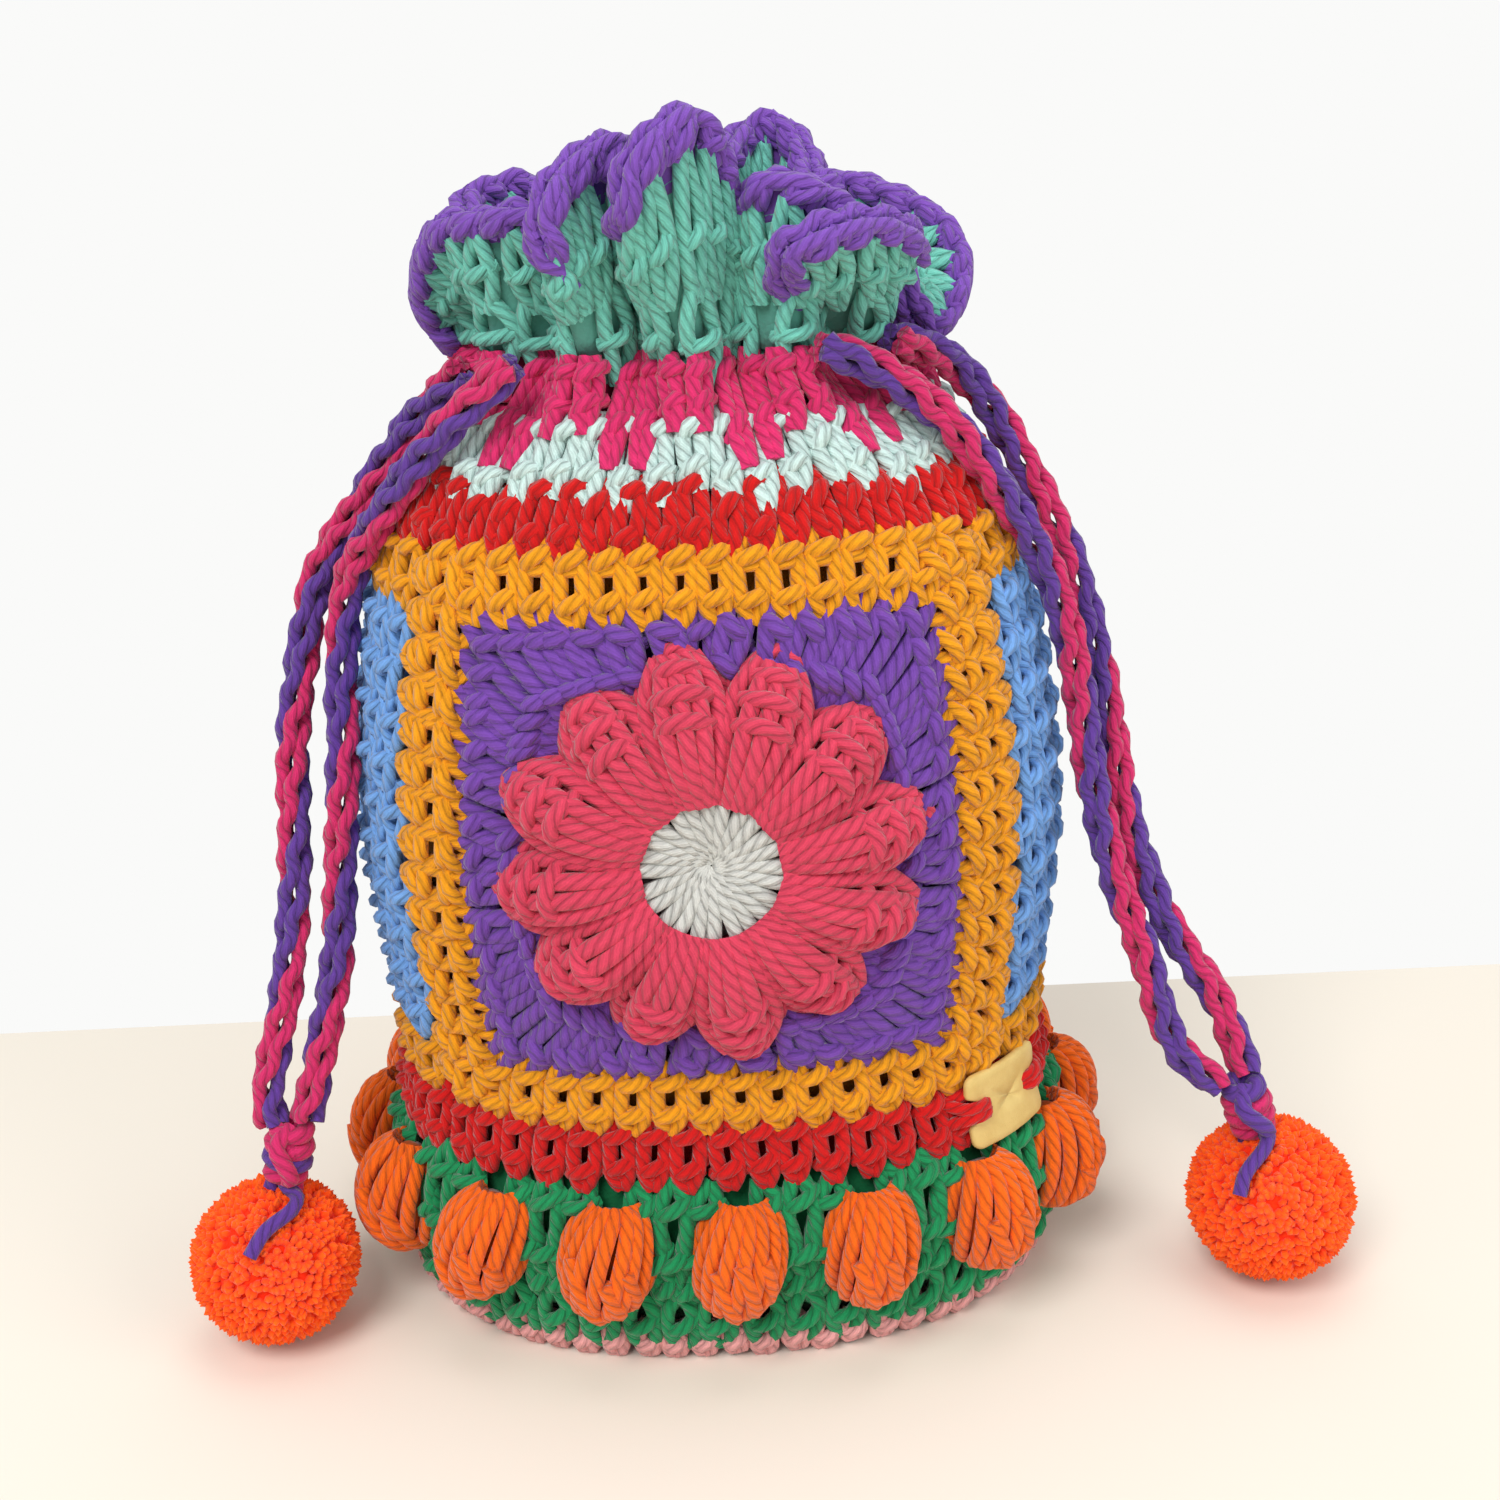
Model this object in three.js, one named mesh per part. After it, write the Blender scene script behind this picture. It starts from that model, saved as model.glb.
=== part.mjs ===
// A crocheted drawstring pouch: a round base, coloured rounds of stitches, a flower square on the
// front and on the back, a gathered neck with two drawcords, and a ruffle above it.
// Millimetres, +Z up. The origin is the middle of the base on the floor, and the front faces -Y.
import * as THREE from "three";

// The fabric.
const fabric = 4.6; // thickness of the crocheted wall
const frillFabric = 3.4; // thickness of the ruffle and its edging
const ridge = 1.1; // how far each stitch stands out of the wall
const gap = 0.35; // clearance between pieces that touch
const stitches = 56; // stitches in one round of the body
const lining = 1.2; // thickness of the cotton lining
const liningGap = 1.2; // room between the lining and the wall

// The outline seen from above: a rounded oval, flatter on the front and back.
const depthRatio = 0.78; // half depth over half width
const squareness = 2.4; // exponent of the oval, 2 for an ellipse

// Heights of the rounds, from the floor up.
const rimHeight = 5.5;
const greenHeight = 29.5;
const redHeight = 10;
const squareHeight = 95;
const upperRedHeight = 7.5;
const mintHeight = 8.5;
const magentaHeight = 10;

// Half widths of the bag, to the middle of its wall, at the heights where its shape turns.
const baseHalfWidth = 54;
const footHalfWidth = 58.6;
const waistHalfWidth = 54;
const bellyHalfWidth = 56.7;
const shoulderHalfWidth = 47.5;
const neckHalfWidth = 29.5;

// The base disc.
const baseThickness = 4;
const baseCentreShare = 0.42; // radius of the middle colour over that of the disc

// The bobbles on the green round.
const bobbles = 16;
const bobbleWidth = 17;
const bobbleHeight = 20;
const bobbleReach = 11; // how far a bobble stands out of the green round
const bobbleMiddle = 22.5; // height of a bobble's middle above the floor

// The flower squares.
const squareHalfTurn = 0.158; // half the square's width, as a share of the way round
const borderWidth = 13; // width of the mustard round at the sides of a square
const borderHeight = 10; // its height above and below
const sideStitches = 12; // stitches along one side of a square
const petals = 12;
const petalTip = 31.5;
const petalValley = 27.5;
const petalHeight = 8.5; // height of the petals above the wall's middle
const flowerCentre = 11.5; // radius of the grey middle
const flowerCentreHeight = 5;

// The gathers and the ruffle.
const pleats = 12;
const pleatDepth = 4.2;
const pleatStart = 4; // how far below the mint round the pleats die out
const pleatColumns = 5; // steps along one pleat
const frillFoot = 0.03; // where the ruffle's solid starts, as a share of its climb
const frillStem = 9; // how far the ruffle rises before it turns out
const edgingShare = 0.2; // share of the ruffle's climb that is its edging
const liningBelowSquare = 2; // how far the lining ends below the top of the squares

// The drawcords and what hangs on them.
const cordDiameter = 5.8;
const cordSides = 8;
const neckNestle = 0.4; // how far the cords settle into the valleys of the pleats
const knotRadius = 4.8;
const pompomRadius = 15;
const pompomTufts = 0.9; // how far the tufts stand out of the ball

// The leather tag.
const tagWidth = 16.5;
const tagHeight = 14.5;
const tagThickness = 1.4;
const tagNotch = 2.6; // depth of the two notches for its stitches
const tagNotchHeight = 5;
const tagTurn = 0.15; // place of its middle round the bag
const tagLevel = 40; // height of its middle above the floor
const tagStitchWidth = 2;

// Heights that follow from the sizes above.
const rimTop = rimHeight;
const greenTop = rimTop + greenHeight;
const redTop = greenTop + redHeight;
const squareTop = redTop + squareHeight;
const upperRedTop = squareTop + upperRedHeight;
const mintTop = upperRedTop + mintHeight;
const neckLevel = mintTop + magentaHeight;
const squareMiddle = (redTop + squareTop) / 2;
const pleatFoot = upperRedTop - pleatStart;

const colours = {
  mustard: 0xd98a1a,
  purple: 0x70479a,
  coral: 0xcf4652,
  grey: 0xc6c6c0,
  red: 0xa81416,
  green: 0x219058,
  orange: 0xf86e19,
  pink: 0xe69b9b,
  mint: 0xd6e7e6,
  magenta: 0xd83a6e,
  teal: 0x6eb9ac,
  blue: 0x6e9cdc,
  navy: 0x232d82,
  khaki: 0x82875f,
  pompom: 0xf04a10,
  leather: 0xdcc678,
};

// One turn of the oval outline, unit half width, at equal steps along its length.
const outlineSteps = 1440;

function signedPower(value, power) {
  return Math.sign(value) * Math.abs(value) ** power;
}

function ovalPoint(angle) {
  const x = signedPower(Math.sin(angle), 2 / squareness);
  const y = -depthRatio * signedPower(Math.cos(angle), 2 / squareness);
  return new THREE.Vector2(x, y);
}

const outlinePoints = Array.from({ length: outlineSteps + 1 }, (_, i) =>
  ovalPoint((i / outlineSteps) * 2 * Math.PI),
);
const outlineLengths = [0];
for (let i = 1; i <= outlineSteps; i += 1) {
  outlineLengths.push(outlineLengths[i - 1] + outlinePoints[i].distanceTo(outlinePoints[i - 1]));
}
const outlineLength = outlineLengths[outlineSteps];

// The outline's point at a share of the way round, from the middle of the front towards +X.
function outline(turn) {
  const wanted = (turn - Math.floor(turn)) * outlineLength;
  let low = 0;
  let high = outlineSteps;
  while (high - low > 1) {
    const middle = (low + high) >> 1;
    if (outlineLengths[middle] <= wanted) low = middle;
    else high = middle;
  }
  const share = (wanted - outlineLengths[low]) / (outlineLengths[high] - outlineLengths[low]);
  return outlinePoints[low].clone().lerp(outlinePoints[high], share);
}

function outlineNormal(turn) {
  const step = 0.004;
  const along = outline(turn + step).sub(outline(turn - step)).normalize();
  return new THREE.Vector2(along.y, -along.x);
}

// The bag's half width at a height, on a smooth curve through the named widths.
const profile = [
  [0, baseHalfWidth],
  [(rimTop + greenTop) / 2, footHalfWidth],
  [redTop, waistHalfWidth],
  [squareMiddle, bellyHalfWidth],
  [squareTop, shoulderHalfWidth],
  [neckLevel, neckHalfWidth],
];

function profileSlope(i) {
  if (i === profile.length - 1) return 0;
  const before = profile[Math.max(i - 1, 0)];
  const after = profile[i + 1];
  return (after[1] - before[1]) / (after[0] - before[0]);
}

function halfWidth(z) {
  if (z <= profile[0][0]) return profile[0][1];
  const last = profile.length - 1;
  if (z >= profile[last][0]) return profile[last][1];
  const i = profile.findIndex((point) => point[0] > z) - 1;
  const height = profile[i + 1][0] - profile[i][0];
  const t = (z - profile[i][0]) / height;
  return (
    (2 * t ** 3 - 3 * t ** 2 + 1) * profile[i][1] +
    (t ** 3 - 2 * t ** 2 + t) * height * profileSlope(i) +
    (3 * t ** 2 - 2 * t ** 3) * profile[i + 1][1] +
    (t ** 3 - t ** 2) * height * profileSlope(i + 1)
  );
}

function pleatReach(z) {
  return pleatDepth * THREE.MathUtils.smoothstep(z, pleatFoot, neckLevel);
}

function pleatOffset(turn, z) {
  return pleatReach(z) * Math.cos(2 * Math.PI * pleats * turn);
}

// A point of the bag: a share of the way round, a height, and a distance out of the wall's middle.
function bag(turn, z, out) {
  const flat = outline(turn).multiplyScalar(halfWidth(z));
  const step = 0.5;
  const lean = (halfWidth(z - step) - halfWidth(z + step)) / (2 * step);
  const normal = outlineNormal(turn);
  const tilt = z > step ? Math.atan(lean) : 0;
  const reach = out * Math.cos(tilt) + pleatOffset(turn, z);
  return new THREE.Vector3(
    flat.x + normal.x * reach,
    flat.y + normal.y * reach,
    z + out * Math.sin(tilt),
  );
}

// Closed solids from rows of points.
function solidFrom(points, triangles) {
  let volume = 0;
  for (const [a, b, c] of triangles) {
    volume += points[a].dot(points[b].clone().cross(points[c]));
  }
  const turned = volume > 0 ? triangles : triangles.map(([a, b, c]) => [a, c, b]);
  const geometry = new THREE.BufferGeometry();
  const values = points.flatMap((p) => p.toArray());
  geometry.setAttribute("position", new THREE.Float32BufferAttribute(values, 3));
  geometry.setIndex(turned.flat());
  const flatShaded = geometry.toNonIndexed();
  flatShaded.computeVertexNormals();
  return flatShaded;
}

// A ring: each section is a closed loop of points, and the sections follow each other round.
function ringSolid(sections) {
  const rows = sections.length;
  const size = sections[0].length;
  const triangles = [];
  for (let i = 0; i < rows; i += 1) {
    const next = (i + 1) % rows;
    for (let j = 0; j < size; j += 1) {
      const up = (j + 1) % size;
      triangles.push([i * size + j, next * size + j, next * size + up]);
      triangles.push([i * size + j, next * size + up, i * size + up]);
    }
  }
  return solidFrom(sections.flat(), triangles);
}

// A solid of stacked loops, closed by a fan at each end.
function stackSolid(loops, firstPole, lastPole) {
  const size = loops[0].length;
  const points = [...loops.flat(), firstPole, lastPole];
  const first = loops.length * size;
  const last = first + 1;
  const top = (loops.length - 1) * size;
  const triangles = [];
  for (let j = 0; j < size; j += 1) {
    const next = (j + 1) % size;
    triangles.push([first, next, j]);
    triangles.push([last, top + j, top + next]);
    for (let i = 0; i < loops.length - 1; i += 1) {
      const here = i * size;
      const above = here + size;
      triangles.push([here + j, here + next, above + next]);
      triangles.push([here + j, above + next, above + j]);
    }
  }
  return solidFrom(points, triangles);
}

const pouch = new THREE.Group();

function addMesh(name, geometry, colour, roughness = 0.95) {
  const material = new THREE.MeshStandardMaterial({ color: colour, roughness, metalness: 0 });
  const mesh = new THREE.Mesh(geometry, material);
  mesh.name = name;
  pouch.add(mesh);
  return mesh;
}

function turnsOf(columns) {
  return Array.from({ length: columns }, (_, i) => i / columns);
}

// A round of the body between two heights. Every other column stands out as a stitch.
function bodyRound(name, low, high, columns, colour, relief = 0, levels = 1) {
  const inner = -fabric / 2;
  const outer = fabric / 2;
  const bottom = low + gap / 2;
  const top = high - gap / 2;
  const sections = turnsOf(columns).map((turn, i) => {
    const stand = outer + (i % 2 === 0 ? relief : 0);
    const face = Array.from({ length: levels + 1 }, (_, j) =>
      bag(turn, THREE.MathUtils.lerp(bottom, top, j / levels), stand),
    );
    return [bag(turn, bottom, inner), ...face, bag(turn, top, inner)];
  });
  addMesh(name, ringSolid(sections), colour);
}

// The base: a middle colour and an outer colour, in one plane, flat underneath.
function baseRounds() {
  const columns = stitches / 2;
  const pole = (z) => new THREE.Vector3(0, 0, z);
  const rimLoop = (z) =>
    turnsOf(columns).map((turn) => {
      const point = bag(turn, 0, -fabric / 2 - 2 * gap);
      point.z = z;
      return point;
    });
  const shrunk = (loop, share) => loop.map((p) => new THREE.Vector3(p.x * share, p.y * share, p.z));
  const low = rimLoop(0);
  const high = rimLoop(baseThickness);
  const centreLoops = [shrunk(low, baseCentreShare), shrunk(high, baseCentreShare)];
  addMesh("base_centre_round", stackSolid(centreLoops, pole(0), pole(baseThickness)), colours.orange);
  const innerShare = baseCentreShare + gap / (baseHalfWidth * depthRatio);
  const corners = [shrunk(low, innerShare), low, high, shrunk(high, innerShare)];
  const sections = low.map((_, i) => corners.map((loop) => loop[i]));
  addMesh("base_outer_round", ringSolid(sections), colours.navy);
}

baseRounds();
bodyRound("rim_round", 0 - gap / 2, rimTop, stitches / 2, colours.pink);
bodyRound("green_round", rimTop, greenTop, 3 * bobbles, colours.green, 0, 2);
bodyRound("lower_red_round", greenTop, redTop, 1.5 * stitches, colours.red, ridge);

// Bobbles: each a plump cluster gathered at its top and bottom, seated on the green round.
const bobbleShape = [
  [-0.8, 0.6, 0.6],
  [-0.1, 1, 1],
  [0.7, 0.68, 0.66],
];
for (let k = 0; k < bobbles; k += 1) {
  const middle = (k + 0.06) / bobbles;
  const seat = fabric / 2 + gap;
  const sides = 8;
  const perimeter = outlineLength * halfWidth(bobbleMiddle);
  const loops = bobbleShape.map(([rise, width, reach]) =>
    turnsOf(sides).map((share) => {
      const angle = share * 2 * Math.PI;
      const turn = middle + ((bobbleWidth / 2) * width * Math.sin(angle)) / perimeter;
      const out = seat + bobbleReach * reach * (0.5 - 0.5 * Math.cos(angle));
      return bag(turn, bobbleMiddle + (rise * bobbleHeight) / 2, out);
    }),
  );
  const low = bag(middle, bobbleMiddle - bobbleHeight / 2, seat + 0.15 * bobbleReach);
  const high = bag(middle, bobbleMiddle + bobbleHeight / 2, seat + 0.15 * bobbleReach);
  const name = `bobble_${String(k + 1).padStart(2, "0")}`;
  addMesh(name, stackSolid(loops, low, high), colours.orange);
}

// A flower square, worked in rounds about its middle. Places on it are millimetres across and up.
function squareParts(prefix, middleTurn) {
  const perimeter = outlineLength * halfWidth(squareMiddle);
  const halfAcross = squareHalfTurn * perimeter - gap / 2;
  const halfUp = squareHeight / 2 - gap / 2;
  const place = (across, up, out) => bag(middleTurn + across / perimeter, squareMiddle + up, out);

  // A point on the rim of a rectangle, walking round it by a share of its length.
  const rectanglePoint = (share, wide, tall) => {
    const side = Math.floor(share * 4);
    const along = (share * 4 - side) * 2 - 1;
    const corners = [
      [along * wide, -tall],
      [wide, along * tall],
      [-along * wide, tall],
      [-wide, -along * tall],
    ];
    return corners[side % 4];
  };
  const inner = -fabric / 2;
  const outer = fabric / 2;

  const borderColumns = 8 * sideStitches;
  const border = turnsOf(borderColumns).map((share, i) => {
    const stand = outer + (i % 2 === 0 ? ridge : 0);
    const far = rectanglePoint(share, halfAcross, halfUp);
    const near = rectanglePoint(share, halfAcross - borderWidth, halfUp - borderHeight);
    return [place(...near, inner), place(...far, inner), place(...far, stand), place(...near, stand)];
  });
  addMesh(`${prefix}_border_round`, ringSolid(border), colours.mustard);

  const petalEdge = (angle) => {
    const bulge = Math.abs(Math.cos((petals / 2) * angle));
    return petalValley + (petalTip - petalValley) * bulge;
  };
  const fieldColumns = 4 * petals;
  const field = turnsOf(fieldColumns).map((share, i) => {
    const stand = outer + (i % 2 === 0 ? ridge : 0);
    const wide = halfAcross - borderWidth - gap;
    const tall = halfUp - borderHeight - gap;
    const far = rectanglePoint(share, wide, tall);
    const angle = Math.atan2(far[1], far[0]);
    const radius = petalEdge(angle) + 2 * gap;
    const near = [Math.cos(angle) * radius, Math.sin(angle) * radius];
    return [place(...near, inner), place(...far, inner), place(...far, stand), place(...near, outer)];
  });
  addMesh(`${prefix}_field_round`, ringSolid(field), colours.purple);

  const petalColumns = 4 * petals;
  const petalRing = turnsOf(petalColumns).map((share) => {
    const angle = share * 2 * Math.PI;
    const at = (radius, out) => place(Math.cos(angle) * radius, Math.sin(angle) * radius, out);
    const edge = petalEdge(angle);
    const crown = petalHeight - (petalTip - edge) * 0.8;
    return [
      at(flowerCentre + gap, inner),
      at(edge, inner),
      at(edge - 1, crown * 0.8),
      at(flowerCentre + gap, crown),
    ];
  });
  addMesh(`${prefix}_petals`, ringSolid(petalRing), colours.coral);

  const centreColumns = 2 * petals;
  const centreLoop = (radius, out) =>
    turnsOf(centreColumns).map((share) => {
      const angle = share * 2 * Math.PI;
      return place(Math.cos(angle) * radius, Math.sin(angle) * radius, out);
    });
  const centreLoops = [
    centreLoop(flowerCentre, inner),
    centreLoop(flowerCentre, flowerCentreHeight),
  ];
  const centre = stackSolid(centreLoops, place(0, 0, inner), place(0, 0, flowerCentreHeight - 1));
  addMesh(`${prefix}_flower_centre`, centre, colours.grey);
}

squareParts("front", 0);
squareParts("back", 0.5);

// A curved slab: a grid of points on its outer face and the like grid on its inner face.
function slabSolid(outerGrid, innerGrid) {
  const rows = outerGrid.length;
  const columns = outerGrid[0].length;
  const points = [...outerGrid.flat(), ...innerGrid.flat()];
  const half = rows * columns;
  const triangles = [];
  for (let i = 0; i < rows - 1; i += 1) {
    for (let j = 0; j < columns - 1; j += 1) {
      const here = i * columns + j;
      const above = here + columns;
      triangles.push([here, here + 1, above + 1], [here, above + 1, above]);
      triangles.push([half + here, half + above + 1, half + here + 1]);
      triangles.push([half + here, half + above, half + above + 1]);
    }
  }
  const rim = [];
  for (let j = 0; j < columns; j += 1) rim.push(j);
  for (let i = 1; i < rows; i += 1) rim.push(i * columns + columns - 1);
  for (let j = columns - 2; j >= 0; j -= 1) rim.push((rows - 1) * columns + j);
  for (let i = rows - 2; i > 0; i -= 1) rim.push(i * columns);
  rim.forEach((here, k) => {
    const next = rim[(k + 1) % rim.length];
    triangles.push([here, half + here, half + next], [here, half + next, next]);
  });
  return solidFrom(points, triangles);
}

// A panel of the wall between two heights and two places round. A ridge follows each row or column.
function wallPanel(name, [low, high], [from, to], { rows, columns, ridgeOf, colour }) {
  const clear = gap / 2 / (outlineLength * halfWidth(squareMiddle));
  const gridAt = (depthOf) =>
    Array.from({ length: rows + 1 }, (_, i) => {
      const z = THREE.MathUtils.lerp(low + gap / 2, high - gap / 2, i / rows);
      return Array.from({ length: columns + 1 }, (__, j) => {
        const turn = THREE.MathUtils.lerp(from + clear, to - clear, j / columns);
        return bag(turn, z, depthOf(i, j));
      });
    });
  const outerGrid = gridAt((i, j) => fabric / 2 + (ridgeOf(i, j) ? ridge : 0));
  const innerGrid = gridAt(() => -fabric / 2);
  addMesh(name, slabSolid(outerGrid, innerGrid), colour);
}

// The sides between the two squares: a blue strip with a short mustard row at each end.
const stripRows = 12;
const stripColumns = 4;
const sideRowStitches = 5;
const lowRowTop = redTop + borderHeight;
const highRowFoot = squareTop - borderHeight;
const acrossRidge = (i) => i % 2 === 1;
const uprightRidge = (i, j) => j % 2 === 1;
for (const [side, middleTurn] of [
  ["right", 0.25],
  ["left", 0.75],
]) {
  const halfTurn = 0.25 - squareHalfTurn;
  const ends = [middleTurn - halfTurn, middleTurn + halfTurn];
  const strip = { rows: stripRows, columns: stripColumns, ridgeOf: acrossRidge, colour: colours.blue };
  const row = { rows: 1, columns: 2 * sideRowStitches, ridgeOf: uprightRidge, colour: colours.mustard };
  wallPanel(`${side}_side_strip`, [lowRowTop, highRowFoot], ends, strip);
  wallPanel(`${side}_side_lower_row`, [redTop, lowRowTop], ends, row);
  wallPanel(`${side}_side_upper_row`, [highRowFoot, squareTop], ends, row);
}

const neckColumns = pleats * pleatColumns;
bodyRound("upper_red_round", squareTop, upperRedTop, 0.75 * stitches, colours.red);
bodyRound("mint_round", upperRedTop, mintTop, neckColumns, colours.mint);
bodyRound("magenta_round", mintTop, neckLevel, neckColumns, colours.magenta);

// The ruffle's free edge: share of the way round, distance out of the neck, rise above it.
// Crests and the valleys between them take turns.
const edgeFolds = [
  [-0.02, 12, 30],
  [0.008, 11, 33],
  [0.045, -2, 21],
  [0.08, 8, 24],
  [0.11, 1, 17],
  [0.14, 14, 16],
  [0.165, 12, 15],
  [0.195, 2, 12],
  [0.235, 14, 6],
  [0.28, 12, 16],
  [0.34, -1, 20],
  [0.4, 10, 28],
  [0.43, 10, 29],
  [0.465, -1, 23],
  [0.505, 11, 24],
  [0.54, -1, 22],
  [0.576, 11, 23],
  [0.612, -1, 21],
  [0.66, 12, 22],
  [0.71, 1, 14],
  [0.75, 14, 7],
  [0.8, 13, 17],
  [0.87, 2, 19],
  [0.91, 14, 21],
  [0.945, 2, 22],
];

const neckLength = outlineLength * neckHalfWidth;
const frillColumns = 84;

// The columns of the ruffle, at equal steps along its edge. The folds join up across the front.
function edgeColumns() {
  const count = edgeFolds.length;
  const extra = 2;
  const points = Array.from({ length: count + 2 * extra + 1 }, (_, i) => {
    const index = i - extra;
    const laps = Math.floor(index / count);
    const [turn, out, rise] = edgeFolds[index - laps * count];
    return new THREE.Vector3((turn + laps) * neckLength, out, rise);
  });
  const curve = new THREE.CatmullRomCurve3(points, false, "centripetal");
  curve.arcLengthDivisions = 1000;
  const lengths = curve.getLengths();
  const lengthTo = (knot) => lengths[Math.round((knot / (points.length - 1)) * curve.arcLengthDivisions)];
  const start = lengthTo(extra);
  const end = lengthTo(extra + count);
  return turnsOf(frillColumns).map((share) => {
    const p = curve.getPointAt(THREE.MathUtils.lerp(start, end, share) / lengths.at(-1));
    return { turn: p.x / neckLength, out: p.y, rise: p.z };
  });
}

function awayFromNeck(turn, out, rise) {
  const flat = outline(turn).multiplyScalar(neckHalfWidth);
  const normal = outlineNormal(turn);
  return new THREE.Vector3(flat.x + normal.x * out, flat.y + normal.y * out, neckLevel + rise);
}

// A point of the ruffle on one of its columns, from 0 at the neck to 1 at the free edge.
function frill(column, climb) {
  const foot = awayFromNeck(column.turn, pleatOffset(column.turn, neckLevel), gap + 1);
  const stemOut = pleatOffset(column.turn, neckLevel) * 0.5 + column.out * 0.35;
  const stem = awayFromNeck(column.turn, stemOut, frillStem);
  const edge = awayFromNeck(column.turn, column.out, column.rise);
  const low = foot.lerp(stem, climb);
  return low.lerp(stem.lerp(edge, climb), climb);
}

// The band starts a clearance above its lower climb, so that two bands meet with parallel ends.
function frillBand(name, [from, to], clearance, steps, colour) {
  const columns = edgeColumns();
  const count = columns.length;
  const reach = 0.02;
  const point = (i, climb, side) => {
    const before = frill(columns[(i + count - 1) % count], climb);
    const after = frill(columns[(i + 1) % count], climb);
    const upward = frill(columns[i], climb + reach).sub(frill(columns[i], climb - reach)).normalize();
    const normal = after.sub(before).cross(upward).normalize();
    const middle = frill(columns[i], climb).addScaledVector(upward, climb === from ? clearance : 0);
    return middle.addScaledVector(normal, (side * frillFabric) / 2);
  };
  const climbs = Array.from({ length: steps + 1 }, (_, j) => THREE.MathUtils.lerp(from, to, j / steps));
  // A band above another one is walked the other way round, which cuts both end faces alike.
  const side = clearance > 0 ? -1 : 1;
  const sections = columns.map((_, i) => [
    ...climbs.map((climb) => point(i, climb, side)),
    ...climbs.toReversed().map((climb) => point(i, climb, -side)),
  ]);
  addMesh(name, ringSolid(sections), colour);
}

const edgingFoot = 1 - edgingShare;
frillBand("teal_ruffle", [frillFoot, edgingFoot], 0, 2, colours.teal);
frillBand("edging_round", [edgingFoot, 1], 2 * gap, 1, colours.purple);

// The lining: a cotton cup inside the wall, up to just under the top of the squares.
function liningCup() {
  const columns = 16;
  const floor = baseThickness + gap;
  const top = squareTop - liningBelowSquare;
  const levels = [floor, rimTop, greenTop, redTop, squareMiddle, (squareMiddle + top) / 2, top];
  const outer = -fabric / 2 - liningGap;
  const loopAt = (z, out, lift = 0) =>
    turnsOf(columns).map((turn) => {
      const point = bag(turn, z, out);
      point.z = z + lift;
      return point;
    });
  const outside = levels.map((z) => loopAt(z, outer));
  const inside = levels.map((z, i) => loopAt(z, outer - lining, i === 0 ? lining : 0)).toReversed();
  const pole = (z) => new THREE.Vector3(0, 0, z);
  addMesh("lining", stackSolid([...outside, ...inside], pole(floor), pole(floor + lining)), colours.khaki);
}

liningCup();

// The drawcords: each runs once round inside the neck, and its two ends come out on one side.
function tube(name, points, closed, steps, colour) {
  const curve = new THREE.CatmullRomCurve3(points, closed, "centripetal");
  const circle = new THREE.Shape(
    Array.from({ length: cordSides }, (_, i) => {
      const angle = (i / cordSides) * 2 * Math.PI;
      const radius = cordDiameter / 2;
      return new THREE.Vector2(Math.cos(angle) * radius, Math.sin(angle) * radius);
    }),
  );
  const geometry = new THREE.ExtrudeGeometry(circle, { steps, extrudePath: curve, bevelEnabled: false });
  addMesh(name, geometry, colour);
}

function neckLoop(name, below, middleTurn, colour) {
  const count = 17;
  const share = 0.96;
  const z = neckLevel - below;
  const inside = -fabric / 2 - pleatReach(z) - cordDiameter / 2 + neckNestle;
  const points = Array.from({ length: count + 1 }, (_, i) => {
    const turn = middleTurn + (i / count - 0.5) * share;
    const flat = outline(turn).multiplyScalar(halfWidth(z));
    const normal = outlineNormal(turn);
    return new THREE.Vector3(flat.x + normal.x * inside, flat.y + normal.y * inside, z);
  });
  tube(name, points, false, count, colour);
}

neckLoop("left_cord_neck", 7.4, 0.25, colours.purple);
neckLoop("right_cord_neck", 1.2, 0.75, colours.magenta);

const cordRoutes = {
  left_cord_outer: [
    [-34.2, -20.4, 164.8],
    [-44.1, -12.8, 155.7],
    [-54.4, -9, 142.7],
    [-61.8, -7.5, 133],
    [-65, -8.5, 124.7],
    [-67.5, -10.5, 114.1],
    [-69.4, -13.3, 103.6],
    [-70, -16.8, 91],
    [-71, -20, 77.7],
    [-73.8, -24, 61.1],
    [-77.6, -27.6, 47],
    [-77.5, -29, 40.3],
  ],
  left_cord_inner: [
    [-26, -29, 166.5],
    [-37.6, -26, 156.6],
    [-48.4, -20.4, 144],
    [-56.7, -13.7, 131],
    [-59.6, -14.3, 116],
    [-59.9, -17.5, 106],
    [-60.8, -20.6, 95],
    [-62.4, -20.6, 83.9],
    [-64.5, -23, 67.3],
    [-68.9, -27.2, 50],
    [-71.6, -28.9, 40.8],
  ],
  right_cord_front: [
    [19.9, -30.4, 167.5],
    [29.1, -27, 163],
    [39.6, -24.6, 154.5],
    [47.7, -22.8, 143.5],
    [54.9, -20.6, 131.3],
    [59, -19, 120.8],
    [62.1, -17.6, 107.2],
    [64.3, -19.4, 91.6],
    [68.1, -21.8, 75.3],
    [72.6, -24.4, 62.5],
    [75.4, -26.4, 52],
    [79, -28, 44.2],
    [85.5, -29, 38.4],
  ],
  right_cord_back: [
    [31.6, -22.4, 167],
    [41.2, -11.8, 162],
    [49.3, -6, 152.6],
    [55.6, -6.2, 141.7],
    [62.1, -7.6, 127.6],
    [66.6, -9.6, 111.1],
    [69.4, -11.6, 95.3],
    [72, -14.9, 81],
    [76.6, -18.4, 68],
    [81.2, -20.6, 59.6],
    [85.7, -22.4, 52.7],
    [88.6, -24.8, 45.5],
    [90.8, -27, 39.5],
  ],
};
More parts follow.
